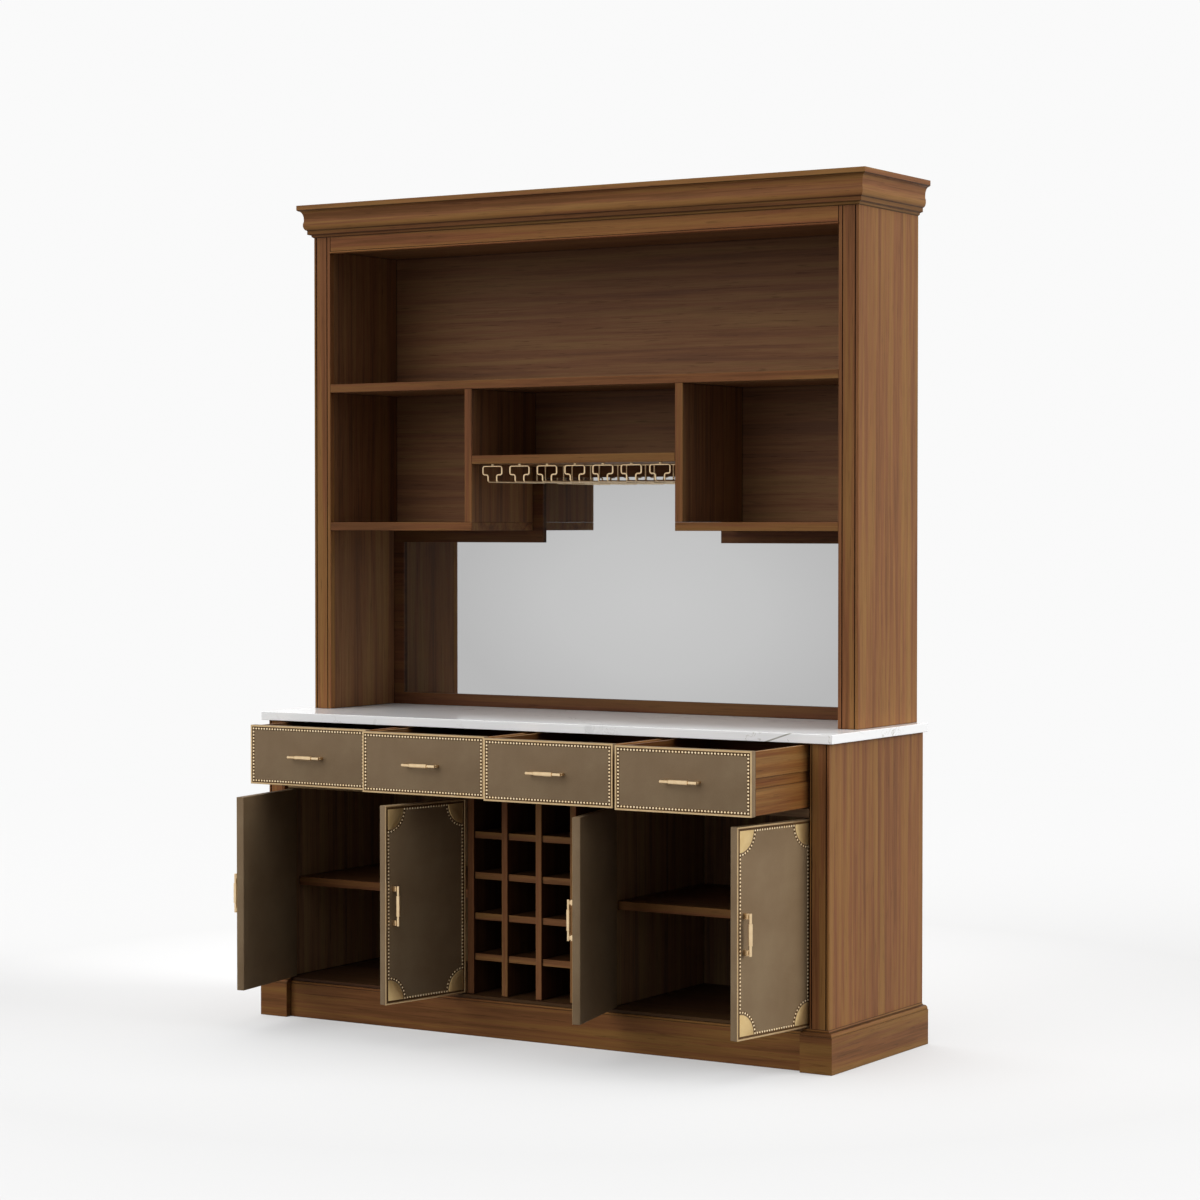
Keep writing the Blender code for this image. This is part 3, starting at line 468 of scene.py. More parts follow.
# Painted shade: very dark copies for the inside of the bottle rack's cells
RACK_SHADE_X = wood_material("walnut_rack_shade_grain_x", "X", tint(WALNUT, (0.12, 0.11, 0.10)))
RACK_SHADE_Z = wood_material("walnut_rack_shade_grain_z", "Z", tint(WALNUT, (0.24, 0.21, 0.19)))
# Painted shade: a much darker copy for the cupboards' floor
SHADED_FLOOR_WOOD = wood_material("walnut_cupboard_floor_painted_shade", "X", tint(SHADED, (0.30, 0.29, 0.29)))
STILE_WOOD = wood_material("walnut_stile_grain_z", "Z", tint(OUTER, (0.88, 0.86, 0.88)))
BASE_WOOD = wood_material("walnut_base_side_grain_z", "Z", tint(OUTER, (0.91, 0.89, 0.88)))
FRIEZE_WOOD = wood_material("walnut_frieze_grain_x", "X", tint(OUTER, (0.96, 0.88, 0.88)))
CORNICE_X = wood_material("walnut_cornice_grain_x", "X", OUTER, quirks=CORNICE_QUIRKS)
CORNICE_Y = wood_material("walnut_cornice_grain_y", "Y", OUTER, quirks=CORNICE_QUIRKS)
PLINTH_X = wood_material("walnut_plinth_shade_grain_x", "X", SHADED_PLINTH, quirks=PLINTH_QUIRKS)
PLINTH_Y = wood_material("walnut_plinth_shade_grain_y", "Y", SHADED_PLINTH, quirks=PLINTH_QUIRKS)
# Painted shade: a much darker copy in the grooves of the fronts
GROOVE_SHADE_WOOD = wood_material("walnut_painted_groove_shade", "Z", tint(OUTER, (0.26, 0.22, 0.22)))
# Drawer boxes: a lighter copy on the rims' tops as painted light, and much darker copies inside and
# on the cross walls as painted shade
RIM_LIT_WOOD = wood_material("drawer_rim_painted_light", "Y", tint(WARM, (1.12, 1.25, 1.45)), 0.85, 1.10)
DRAWER_WOOD = wood_material("drawer_side_wood", "Y", tint(WARM, (0.78, 0.78, 0.78)), 0.78, 1.14)
DRAWER_INSIDE_SHADE = wood_material("drawer_inside_painted_shade", "Y", tint(WARM, (0.36, 0.34, 0.35)))
DRAWER_CROSS_SHADE = wood_material("drawer_cross_wall_painted_shade", "X", tint(WARM, (0.36, 0.34, 0.35)))


def leather_material(name, colours):
    """Taupe leather with a fine pebbled grain and soft mottling."""
    tree = Tree(name)
    place = tree.object_place()
    cloud = tree.noise(place, scale=6.0, detail=4.0, roughness=0.55)
    speck = tree.noise(place, scale=420.0, detail=2.0, roughness=0.5)
    cells = tree.add("ShaderNodeTexVoronoi", feature="DISTANCE_TO_EDGE")
    tree.put(cells.inputs["Vector"], place)
    cells.inputs["Scale"].default_value = LEATHER_CELLS
    creases = tree.map_range(cells.outputs["Distance"], 0.0, LEATHER_CREASE, 0.0, 1.0)
    colour = tree.ramp(cloud, zip((0.3, 0.5, 0.7), colours))
    fine = tree.from_noise(speck, 0.93, 1.06)
    crease_tone = tree.between(creases, 0.86, 1.0)
    tone = tree.grey(tree.math("MULTIPLY", fine, crease_tone))
    tree.put(tree.shader.inputs["Base Color"], tree.vector("MULTIPLY", colour, tone))
    tree.put(tree.shader.inputs["Roughness"], tree.from_noise(speck, 0.62, 0.52))
    tree.shader.inputs["Specular IOR Level"].default_value = 0.25
    height = tree.math("MULTIPLY_ADD", creases, 0.8, tree.math("MULTIPLY", cloud, 0.3))
    tree.bump(height, strength=0.35, distance=0.0003)
    return tree.material


def brass_material(name, colours, rough_low, rough_high, metallic=1.0):
    """Lacquered brass with faint polishing marks."""
    tree = Tree(name)
    place = tree.object_place()
    cloud = tree.noise(place, scale=35.0, detail=3.0, roughness=0.5)
    squeezed = tree.vector("MULTIPLY", place, (1.0, 1.0, 9.0))
    marks = tree.noise(squeezed, scale=90.0, detail=4.0, roughness=0.6)
    tree.put(tree.shader.inputs["Base Color"], tree.ramp(cloud, zip(NOISE_SPAN, colours)))
    tree.put(tree.shader.inputs["Roughness"], tree.from_noise(marks, rough_low, rough_high))
    tree.shader.inputs["Metallic"].default_value = metallic
    tree.bump(marks, strength=0.05, distance=0.0002)
    return tree.material


def marble_material():
    """Polished white marble with soft grey clouds and thin grey and ochre veins."""
    tree = Tree("white_marble_veined")
    place = tree.object_place()
    warp = tree.add("ShaderNodeTexNoise")
    tree.put(warp.inputs["Vector"], place)
    warp.inputs["Scale"].default_value = 1.6
    warp.inputs["Detail"].default_value = 6.0
    push = tree.vector("MULTIPLY", warp.outputs["Color"], (0.9, 0.9, 0.9))
    warped = tree.vector("ADD", place, push)
    slanted = tree.vector("MULTIPLY", warped, (1.0, 2.3, 1.0))
    elsewhere = tree.vector("ADD", slanted, (4.3, 8.1, 2.2))
    first = tree.noise(slanted, scale=1.7, detail=5.0, roughness=0.55)
    second = tree.noise(elsewhere, scale=3.1, detail=6.0, roughness=0.6)
    cloud = tree.noise(warped, scale=1.1, detail=3.0, roughness=0.5)

    def vein(value, width):
        away = tree.math("ABSOLUTE", tree.math("SUBTRACT", value, 0.5))
        return tree.map_range(away, 0.0, width, 1.0, 0.0)

    base = tree.ramp(cloud, zip((0.35, 0.55, 0.75), palette("f3f3f3", "f8f8f7", "faf9f8")))
    wide = tree.math("MULTIPLY", vein(first, WIDE_VEIN),
                     tree.map_range(cloud, 0.42, 0.6, 0.0, 0.6))
    thin = tree.math("MULTIPLY", vein(second, THIN_VEIN),
                     tree.map_range(first, 0.45, 0.6, 0.0, 0.6))
    grey = tree.mix(wide, base, srgb("c4c4c4"))
    veined = tree.mix(thin, grey, srgb("9c9480"))
    wobble = tree.vector("MULTIPLY", warp.outputs["Color"], (VEIN_WOBBLE, 0.0, 0.0))
    start = Vector(VEIN_START) + Vector((VEIN_WOBBLE / 2, 0.0, 0.0))
    from_start = tree.vector("SUBTRACT", tree.vector("ADD", place, wobble), tuple(start))
    x, y, z = tree.parts(from_start)
    across = tree.math("MULTIPLY_ADD", z, -VEIN_RISE, x)
    across = tree.math("ABSOLUTE", tree.math("MULTIPLY_ADD", y, -VEIN_RUN, across))
    streak = tree.math("MULTIPLY", tree.map_range(across, VEIN_CORE, VEIN_EDGE, VEIN_DEPTH, 0.0),
                       tree.map_range(y, 0.0, VEIN_REACH, 1.0, 0.0))
    tree.put(tree.shader.inputs["Base Color"], tree.mix(streak, veined, srgb("7d7c6a")))
    tree.put(tree.shader.inputs["Roughness"], tree.from_noise(cloud, 0.08, 0.12))
    tree.shader.inputs["Specular IOR Level"].default_value = 0.14
    return tree.material


def mirror_material():
    """Silvered glass with a painted reflection that is brightest at one place and a little duller
    toward its edges.
    """
    tree = Tree("silvered_mirror")
    place = tree.object_place()
    cloud = tree.noise(place, scale=2.0, detail=2.0, roughness=0.5)
    from_middle = tree.vector("SUBTRACT", place, MIRROR_LIGHT_MIDDLE)
    reach = tree.length(tree.vector("MULTIPLY", from_middle, MIRROR_LIGHT_STRETCH))
    away = tree.math("MULTIPLY_ADD", cloud, MIRROR_LIGHT_CLOUD, reach)
    stops = [(position, (tone, tone, tone)) for position, tone in MIRROR_LIGHT_TONES]
    tree.put(tree.shader.inputs["Base Color"], tree.ramp(away, stops))
    tree.put(tree.shader.inputs["Roughness"], tree.from_noise(cloud, 0.015, 0.03))
    tree.shader.inputs["Metallic"].default_value = 1.0
    return tree.material


TAUPE = tint(palette("83694d", "8b7155", "937a5d"), (0.82, 0.86, 0.86))
LEATHER = leather_material("taupe_leather_grain", TAUPE)
# Partly a darker leather band and partly painted shade round the nail heads
BAND_LEATHER_AND_SHADE = leather_material("dark_leather_band_and_nail_shade", palette("462e14", "4f361a", "583d20"))
BRASS = brass_material("satin_brass", palette("e0c297", "ebd1a8"), 0.28, 0.40)
NAIL_BRASS = brass_material("nail_brass", palette("ffe0ac", "fde9c4"), 0.26, 0.36, 0.6)
BORDER_BRASS = brass_material("border_brass", palette("c2a67c", "cfb48b"), 0.42, 0.54)
PLATE_BRASS = brass_material("plate_brass", palette("d8b981", "e0c48e"), 0.40, 0.46, 0.85)
MARBLE = marble_material()
MIRROR = mirror_material()


# Shape helpers


def mesh_object(name, cage, material, body, smooth_angle):
    """Put a bmesh in the scene as a piece that rides on a body."""
    bmesh.ops.recalc_face_normals(cage, faces=cage.faces)
    mesh = bpy.data.meshes.new(name)
    cage.to_mesh(mesh)
    cage.free()
    mesh.shade_smooth()
    mesh.set_sharp_from_angle(angle=math.radians(smooth_angle))
    mesh.materials.append(material)
    thing = bpy.data.objects.new(name, mesh)
    bpy.context.scene.collection.objects.link(thing)
    thing["body_name"] = body
    return thing


def settle(thing, matrix=None):
    """Place a piece and let it ride on its body."""
    if matrix is not None:
        thing.matrix_world = matrix
    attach(thing, thing["body_name"])
    del thing["body_name"]
    return thing


def smooth_copy(node, materials, chosen):
    """A welded, smoothly shaded copy that stands for a CAD node; chosen gives a face's material."""
    source = NODES[node]
    cage = bmesh.new()
    cage.from_mesh(source.data)
    bmesh.ops.remove_doubles(cage, verts=cage.verts, dist=WELD_REACH)
    bmesh.ops.dissolve_limit(cage, angle_limit=math.radians(FLAT_ANGLE),
                             verts=cage.verts, edges=cage.edges)
    for face in cage.faces:
        face.material_index = int(chosen(face))
    thing = mesh_object(node + "_finish", cage, materials[0], source["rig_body"],
                        BOARD_SMOOTH)
    for material in materials[1:]:
        thing.data.materials.append(material)
    settle(thing)
    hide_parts(node)


def rounded_panel(cage, low, high, radius):
    """A board with its edges rounded over."""
    size = Vector(high) - Vector(low)
    middle = (Vector(high) + Vector(low)) / 2
    made = bmesh.ops.create_cube(cage, size=1.0,
                                 matrix=Matrix.Translation(middle) @ Matrix.Diagonal((*size, 1.0)))
    edges = list(dict.fromkeys(edge for vert in made["verts"] for edge in vert.link_edges))
    bmesh.ops.bevel(cage, geom=edges, offset=radius, segments=ROUND_SEGMENTS, profile=0.5,
                    affect="EDGES")


def bridge(cage, loops):
    """Faces between closed loops of points that have the same count."""
    for first, second in zip(loops, loops[1:]):
        for k in range(len(first)):
            j = (k + 1) % len(first)
            cage.faces.new((first[k], first[j], second[j], second[k]))


def around(sides):
    """The cosine and sine of even steps round a circle."""
    turns = [2 * math.pi * k / sides for k in range(sides)]
    return [(math.cos(turn), math.sin(turn)) for turn in turns]


def quarter(steps):
    """The cosine and sine of even steps through a right angle, both ends included."""
    turns = [math.pi / 2 * i / steps for i in range(steps + 1)]
    return [(math.cos(turn), math.sin(turn)) for turn in turns]


def ring_strip(cage, half_w, half_h, rows):
    """A mitred strip round a rectangle; rows are (inset from the edge, height over the face)."""
    loops = []
    for inset, height in rows:
        u, v = half_w - inset, half_h - inset
        corners = ((-u, -v), (u, -v), (u, v), (-u, v))
        loops.append([cage.verts.new((x, -height, z)) for x, z in corners])
    bridge(cage, loops)


def nail_head(cage, x, z):
    """A nail's domed head on the face."""
    loops = []
    for share, rise in NAIL_ROWS:
        radius = NAIL_R * share
        loops.append([cage.verts.new((x + radius * u, -NAIL_H * rise, z + radius * v))
                      for u, v in around(NAIL_SIDES)])
    top = cage.verts.new((x, -NAIL_H, z))
    bridge(cage, loops)
    for k in range(NAIL_SIDES):
        cage.faces.new((loops[-1][k], loops[-1][(k + 1) % NAIL_SIDES], top))


def spread(start, end, pitch):
    """Even steps from start to end, both included, about a pitch apart."""
    count = max(1, round(abs(end - start) / pitch))
    return [start + (end - start) * i / count for i in range(count + 1)]


def lathe(cage, profile, move, sides):
    """A turned form: profile is (radius, along), turned about X and then moved by a matrix."""
    loops = []
    for radius, along in profile:
        if radius == 0.0:
            loops.append([cage.verts.new(move @ Vector((along, 0, 0)))])
        else:
            loops.append([cage.verts.new(move @ Vector((along, radius * u, radius * v)))
                          for u, v in around(sides)])
    for first, second in zip(loops, loops[1:]):
        for k in range(sides):
            j = (k + 1) % sides
            if len(first) == 1:
                cage.faces.new((first[0], second[k], second[j]))
            elif len(second) == 1:
                cage.faces.new((first[k], first[j], second[0]))
            else:
                cage.faces.new((first[k], first[j], second[j], second[k]))


def fillet_line(corners, radius, steps):
    """A line of points with each right-angled corner rounded."""
    corners = [Vector(corner) for corner in corners]
    points = [corners[0]]
    for before, corner, after in zip(corners, corners[1:], corners[2:]):
        back = (before - corner).normalized()
        ahead = (after - corner).normalized()
        centre = corner + (back + ahead) * radius
        points += [centre - (ahead * u + back * v) * radius for u, v in quarter(steps)]
    points.append(corners[-1])
    return points


def tube(cage, points, radius, sides):
    """A round wire along a line of points, closed at both ends."""
    loops = []
    side = None
    for i, point in enumerate(points):
        ahead = (points[min(i + 1, len(points) - 1)] - points[max(i - 1, 0)]).normalized()
        if side is None:
            side = ahead.orthogonal().normalized()
        side = (side - ahead * side.dot(ahead)).normalized()
        up = ahead.cross(side)
        loops.append([cage.verts.new(point + (side * u + up * v) * radius)
                      for u, v in around(sides)])
    bridge(cage, loops)
    cage.faces.new(loops[0])
    cage.faces.new(loops[-1])


# Leather fronts with their brass trim


def nails_piece(name, places, matrix, body):
    """All nail heads of one face as one piece."""
    cage = bmesh.new()
    for x, z in places:
        nail_head(cage, x, z)
    settle(mesh_object(name, cage, NAIL_BRASS, body, NAIL_SMOOTH), matrix)


def border_pieces(name, half_w, half_h, matrix, body):
    """The brass strip at a face's edge and the darker leather band inside it, partly painted shade
    round the nails.
    """
    cage = bmesh.new()
    shoulder = BORDER_H * SHOULDER
    outer = [(0.0, 0.0), (BORDER_LIP, shoulder), (BORDER_EASE, BORDER_H)]
    ring_strip(cage, half_w, half_h,
               outer + [(BORDER_W - inset, height) for inset, height in reversed(outer)])
    settle(mesh_object(name + "_border", cage, BORDER_BRASS, body, PANEL_SMOOTH), matrix)
    cage = bmesh.new()
    start = BORDER_W - BAND_LAP
    ring_strip(cage, half_w, half_h,
               ((start, 0.0), (start, BAND_H), (BAND_OUT - BAND_EASE, BAND_H), (BAND_OUT, 0.0)))
    band = mesh_object(name + "_band", cage, BAND_LEATHER_AND_SHADE, body, TRIM_SMOOTH)
    settle(band, matrix)


def handle_piece(name, matrix, body, node):
    """A turned bar handle along X on two oblong posts, which stand on the plane y = 0."""
    cage = bmesh.new()
    half = HANDLE_L / 2
    grip = HANDLE_GRIP_L / 2
    end_r, grip_r = HANDLE_END_R, HANDLE_GRIP_R
    outer = [(0.0, half), (end_r - HANDLE_EASE, half),
             (end_r - HANDLE_EASE_STEP, half - HANDLE_END_STEP), (end_r, half - HANDLE_END_EASE),
             (end_r, grip + HANDLE_COLLAR), (end_r - HANDLE_EASE, grip + HANDLE_GROOVE_FAR),
             (end_r - HANDLE_EASE, grip + HANDLE_GROOVE_NEAR), (grip_r - HANDLE_EASE, grip),
             (grip_r - HANDLE_EASE_STEP, grip - HANDLE_EASE_STEP), (grip_r, grip - HANDLE_EASE)]
    profile = outer + [(r, -x) for r, x in reversed(outer)]
    lathe(cage, profile, Matrix.Translation((0, -HANDLE_STANDOFF, 0)), HANDLE_SIDES)
    post_out = half - HANDLE_POST_INSET
    post_reach = HANDLE_STANDOFF - end_r - HANDLE_NECK_L
    across = HANDLE_POST_T / 2
    for side in (-1, 1):
        low, high = sorted((side * (post_out - HANDLE_POST_W), side * post_out))
        rounded_panel(cage, (low, -post_reach, -across), (high, HANDLE_POST_SINK, across),
                      HANDLE_POST_ROUND)
        rounded_panel(cage,
                      (low + HANDLE_NECK_IN_X, -HANDLE_STANDOFF, -across + HANDLE_NECK_IN_Z),
                      (high - HANDLE_NECK_IN_X, -post_reach + HANDLE_NECK_LAP,
                       across - HANDLE_NECK_IN_Z),
                      HANDLE_NECK_ROUND)
    thing = settle(mesh_object(name, cage, BRASS, body, HANDLE_SMOOTH), matrix)
    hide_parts(node)


def drawer_looks(number):
    """Leather front, brass border, nails and handle of one drawer."""
    body = f"drawer_{number}"
    low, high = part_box(f"{body}_front")
    middle = Vector(((low.x + high.x) / 2, low.y, (low.z + high.z) / 2))
    half_w, half_h = (high.x - low.x) / 2, (high.z - low.z) / 2
    thick = high.y - low.y
    place = Matrix.Translation(middle)
    cage = bmesh.new()
    rounded_panel(cage, (-half_w, 0, -half_h), (half_w, thick, half_h), PANEL_ROUND)
    panel = mesh_object(f"{body}_leather_front", cage, LEATHER, body, PANEL_SMOOTH)
    settle(panel, place)
    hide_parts(f"{body}_front")
    border_pieces(body, half_w, half_h, place, body)
    u, v = half_w - DRAWER_NAIL_INSET, half_h - DRAWER_NAIL_INSET
    places = [(x, z) for x in spread(-u, u, DRAWER_NAIL_PITCH) for z in (-v, v)]
    places += [(x, z) for z in spread(-v, v, DRAWER_NAIL_RISE)[1:-1] for x in (-u, u)]
    nails_piece(f"{body}_nails", places, place, body)
    lower = place @ Matrix.Translation((0, 0, -HANDLE_DROP))
    handle_piece(f"{body}_pull", lower, body, f"{body}_handle")


def quarter_plate(cage, corner_x, corner_z, sign_x, sign_z):
    """A domed quarter-round brass plate in one corner."""
    rows = ((PLATE_R, 0.0), (PLATE_R - PLATE_LIP, PLATE_H * SHOULDER),
            (PLATE_R - PLATE_EASE, PLATE_H))
    loops = []
    for radius, height in rows:
        inset = PLATE_R - radius
        points = [(inset, inset)]
        points += [(max(radius * u, inset), max(radius * v, inset)) for u, v in quarter(ARC_STEPS)]
        loops.append([cage.verts.new((corner_x + sign_x * x, -height, corner_z + sign_z * z))
                      for x, z in points])
    bridge(cage, loops)
    cage.faces.new(loops[-1])


def arc_band(cage, corner_x, corner_z, sign_x, sign_z):
    """The darker leather band that follows a corner plate's nails, partly painted shade round them.
    """
    half = (BAND_OUT - BORDER_W) / 2 - BAND_TRIM
    loops = []
    for radius, height in ((NAIL_ARC_R - half, 0.0), (NAIL_ARC_R - half, BAND_H),
                           (NAIL_ARC_R + half, BAND_H), (NAIL_ARC_R + half, 0.0)):
        loops.append([cage.verts.new((corner_x + sign_x * radius * u, -height,
                                      corner_z + sign_z * radius * v))
                      for u, v in quarter(ARC_STEPS)])
    for first, second in zip(loops, loops[1:]):
        for k in range(ARC_STEPS):
            cage.faces.new((first[k], first[k + 1], second[k + 1], second[k]))


def door_looks(number):
    """Leather leaf, brass border, corner plates, nails and handle of one door."""
    body = f"door_{number}"
    joint = JOINTS[body]
    hand = -joint["axis"][2]
    rest = -joint["range_deg"][0]
    pivot = Vector((joint["pos_m"][0], joint["pos_m"][1], 0.0))
    hinge = Matrix.Translation(pivot) @ Matrix.Rotation(-hand * math.radians(rest), 4, "Z")
    low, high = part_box(f"{body}_leaf")
    low_z, high_z = low.z + DOOR_PIN_REACH, high.z - DOOR_PIN_REACH
    half_w, half_h = DOOR_W / 2, (high_z - low_z) / 2
    place = hinge @ Matrix.Translation((hand * (half_w - DOOR_PIVOT_INSET), -DOOR_FACE_OUT,
                                        (low_z + high_z) / 2))
    cage = bmesh.new()
    rounded_panel(cage, (-half_w, 0, -half_h), (half_w, DOOR_T, half_h), PANEL_ROUND)
    panel = mesh_object(f"{body}_leather_leaf", cage, LEATHER, body, PANEL_SMOOTH)
    settle(panel, place)
    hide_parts(f"{body}_leaf")
    border_pieces(body, half_w, half_h, place, body)
    cage, band = bmesh.new(), bmesh.new()
    places = []
    first = math.asin((DOOR_NAIL_INSET - PLATE_INSET) / NAIL_ARC_R)
    count = round(NAIL_ARC_R * (math.pi / 2 - 2 * first) / DOOR_NAIL_PITCH)
    for sign_x in (-1, 1):
        for sign_z in (-1, 1):
            corner_x = -sign_x * (half_w - PLATE_INSET)
            corner_z = -sign_z * (half_h - PLATE_INSET)
            quarter_plate(cage, corner_x, corner_z, sign_x, sign_z)
            arc_band(band, corner_x, corner_z, sign_x, sign_z)
            for i in range(count + 1):
                turn = first + (math.pi / 2 - 2 * first) * i / count
                places.append((corner_x + sign_x * NAIL_ARC_R * math.cos(turn),
                               corner_z + sign_z * NAIL_ARC_R * math.sin(turn)))
    plates = mesh_object(f"{body}_corner_plates", cage, PLATE_BRASS, body, TRIM_SMOOTH)
    settle(plates, place)
    bands = mesh_object(f"{body}_corner_bands", band, BAND_LEATHER_AND_SHADE, body,
                        TRIM_SMOOTH)
    settle(bands, place)
    u, v = half_w - DOOR_NAIL_INSET, half_h - DOOR_NAIL_INSET
    run_x = half_w - PLATE_INSET - NAIL_ARC_R
    run_z = half_h - PLATE_INSET - NAIL_ARC_R
    places += [(x, z) for x in spread(-run_x, run_x, DOOR_NAIL_PITCH)[1:-1] for z in (-v, v)]
    places += [(x, z) for z in spread(-run_z, run_z, DOOR_NAIL_PITCH)[1:-1] for x in (-u, u)]
    nails_piece(f"{body}_nails", places, place, body)
    free = hand * (half_w - HANDLE_FROM_DOOR_EDGE)
    lower = place @ Matrix.Translation((free, 0, -HANDLE_DROP))
    upright = lower @ Matrix.Rotation(math.pi / 2, 4, "Y")
    handle_piece(f"{body}_pull", upright, body, f"{body}_handle")


# Wire rack for stemmed glasses


def rack_looks():
    """Bent brass wire hangers with clips in front and a strip at the rear."""
    low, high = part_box("stemware_rack")
    head, neck = HANGER_HEAD, HANGER_NECK
    under = high.z
    head_z = under - HANGER_TOP_GAP - WIRE_R
    shoulder_z = head_z - HANGER_RISE
    rail_z = shoulder_z - HANGER_RAIL_DROP
    front_y = low.y + HANGER_FRONT_INSET
    rear_y = front_y + HANGER_L
    cage = bmesh.new()
    middles = [(i - (HANGERS - 1) / 2) * HANGER_PITCH for i in range(HANGERS)]
    for x in middles:
        half_path = [(neck, rear_y, under - HANGER_TAIL_GAP), (neck, rear_y, rail_z),
                     (neck, front_y, rail_z), (neck, front_y, shoulder_z),
                     (head, front_y, shoulder_z), (head, front_y, head_z)]
        path = [(x - u, v, w) for u, v, w in half_path]
        path += [(x + u, v, w) for u, v, w in reversed(half_path)]
        tube(cage, fillet_line(path, WIRE_BEND, WIRE_BEND_STEPS), WIRE_R, WIRE_SIDES)
    for x in middles:
        rounded_panel(cage, (x - CLIP_HALF_W, front_y - CLIP_FRONT, head_z),
                      (x + CLIP_HALF_W, front_y + CLIP_REAR, under), RACK_ROUND)
    rounded_panel(cage, (low.x, rear_y - STRIP_HALF_W, under - STRIP_T),
                  (high.x, rear_y + STRIP_HALF_W, under), RACK_ROUND)
    thing = settle(mesh_object("stemware_hangers", cage, BRASS, "cabinet", TRIM_SMOOTH))
    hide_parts("stemware_rack")


# Finishes of the fixed boards


def assign(names, material):
    """Give CAD nodes a material."""
    for name in names:
        data = NODES[name].data
        data.materials.clear()
        data.materials.append(material)


def on_front(face):
    """Faces that look forward."""
    return face.normal.y < -FACING


def on_rear(face):
    """Faces that look backward."""
    return face.normal.y > FACING


def on_return(face):
    """Faces of a moulding's two ends."""
    return abs(face.normal.x) > FACING


def partition_side(face, inward):
    """0 on the cupboard's side, 1 on the front and 2 on the bottle rack's side."""
    return 1 if on_front(face) else 2 * int(face.normal.x * inward > FACING)


def in_groove(face, front):
    """Walls and bottom of a narrow groove cut in a front, without its slanted edges."""
    depth = face.calc_center_median().y - front
    return GROOVE_NEAR < depth < GROOVE_FAR and max(map(abs, face.normal)) > SQUARE


def moulded_side(face, front):
    """0 on a board's side and back, 1 on its front and 2 in the front's grooves, with painted
    shade.
    """
    return 2 if in_groove(face, front) else int(on_front(face))


def drawer_side(face, middle):
    """0 on a box's outside, 1 on its rim, with painted light, 2 on its inside and 3 on its cross
    walls, both with painted shade.
    """
    outward = face.calc_center_median() - middle
    if face.normal.z > FACING and outward.z > 0:
        return 1
    if abs(face.normal.y) > FACING:
        return 3
    return 2 if outward.dot(face.normal) < 0 else 0


def board_looks():
    """Wood, marble and mirror on the carcass."""
    for node in ("long_shelf", "centre_shelf", "cubby_shelf_left", "cubby_shelf_right"):
        smooth_copy(node, [INNER_X, EDGE_WOOD], on_front)
    for node in ("shelf_left", "shelf_right"):
        smooth_copy(node, [SHADED_SHELF_WOOD, EDGE_WOOD], on_front)
    assign(["mirror_frame"], FRAME_WOOD)
    assign(["hutch_ceiling"], INNER_X)
    assign(["hutch_lining_left", "hutch_lining_right"], INNER_Z)
    smooth_copy("cubby_divider_left", [INNER_Z, UPRIGHT_WOOD], on_front)
    smooth_copy("cubby_divider_right", [INNER_Z, UPRIGHT_WOOD], on_front)
    for node in ("wine_upright_1", "wine_upright_2", "wine_upright_3"):
        smooth_copy(node, [RACK_SHADE_Z, RACK_EDGE_Z], on_front)
    for node in ("wine_shelf_1", "wine_shelf_2", "wine_shelf_3", "wine_shelf_4"):
        smooth_copy(node, [RACK_SHADE_X, RACK_EDGE_X], on_front)
    assign(["base_floor"], SHADED_FLOOR_WOOD)
    assign(["drawer_deck"], CUPBOARD_LIT_X)
    assign(["base_lining_left", "base_lining_right"], CUPBOARD_LIT_Z)
    for side, inward in (("left", 1), ("right", -1)):
        smooth_copy(f"wine_partition_{side}", [CUPBOARD_LIT_Z, RACK_EDGE_Z, RACK_SHADE_Z],
                    lambda face: partition_side(face, inward))
    smooth_copy("hutch_back", [BACK_X, WOOD_X], on_rear)
    smooth_copy("base_back", [CUPBOARD_LIT_Z, WOOD_Z], on_rear)
    assign(["drawer_partition_1", "drawer_partition_2", "drawer_partition_3"], CUPBOARD_LIT_Y)
    for number in NUMBERS:
        middle = sum(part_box(f"drawer_{number}_box"), Vector()) / 2
        smooth_copy(f"drawer_{number}_box", [DRAWER_WOOD, RIM_LIT_WOOD, DRAWER_INSIDE_SHADE, DRAWER_CROSS_SHADE],
                    lambda face: drawer_side(face, middle))
    assign(["marble_top"], MARBLE)
    assign(["mirror"], MIRROR)
    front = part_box("hutch_side_left")[0].y
    smooth_copy("frieze_rail", [FRIEZE_WOOD, FRIEZE_WOOD, GROOVE_SHADE_WOOD],
                lambda face: moulded_side(face, front))
    smooth_copy("cornice", [CORNICE_X, CORNICE_Y], on_return)
    smooth_copy("plinth", [PLINTH_X, PLINTH_Y], on_return)
    for part, board, post in (("hutch", WOOD_Z, STILE_WOOD), ("base", BASE_WOOD, WOOD_Z)):
        for side in ("left", "right"):
            node = f"{part}_side_{side}"
            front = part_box(node)[0].y
            smooth_copy(node, [board, post, GROOVE_SHADE_WOOD], lambda face: moulded_side(face, front))


board_looks()
rack_looks()
for which in NUMBERS:
    drawer_looks(which)
    door_looks(which)


# Studio


def ray_mask(tree):
    """1 where a camera, glossy or transmission ray asks, else 0."""
    paths = tree.add("ShaderNodeLightPath")
    seen = tree.math("MAXIMUM", paths.outputs["Is Camera Ray"], paths.outputs["Is Glossy Ray"])
    return tree.math("MAXIMUM", seen, paths.outputs["Is Transmission Ray"])


class WorldTree(Tree):
    """The same helpers on the world's node tree."""

    def __init__(self, world):
        world.use_nodes = True
        self.nodes = world.node_tree.nodes
        self.links = world.node_tree.links
        self.shader = self.nodes["Background"]


BACKGROUND = 0.955
SKY_HORIZON = 0.35
SKY_RISE = 1.52
SKY_DIP = 0.74
SKY_DIP_TOWARD = (0.766, -0.643, 0.0)
SKY_DIP_EDGE = 0.3
SKY_DIP_CORE = 0.9
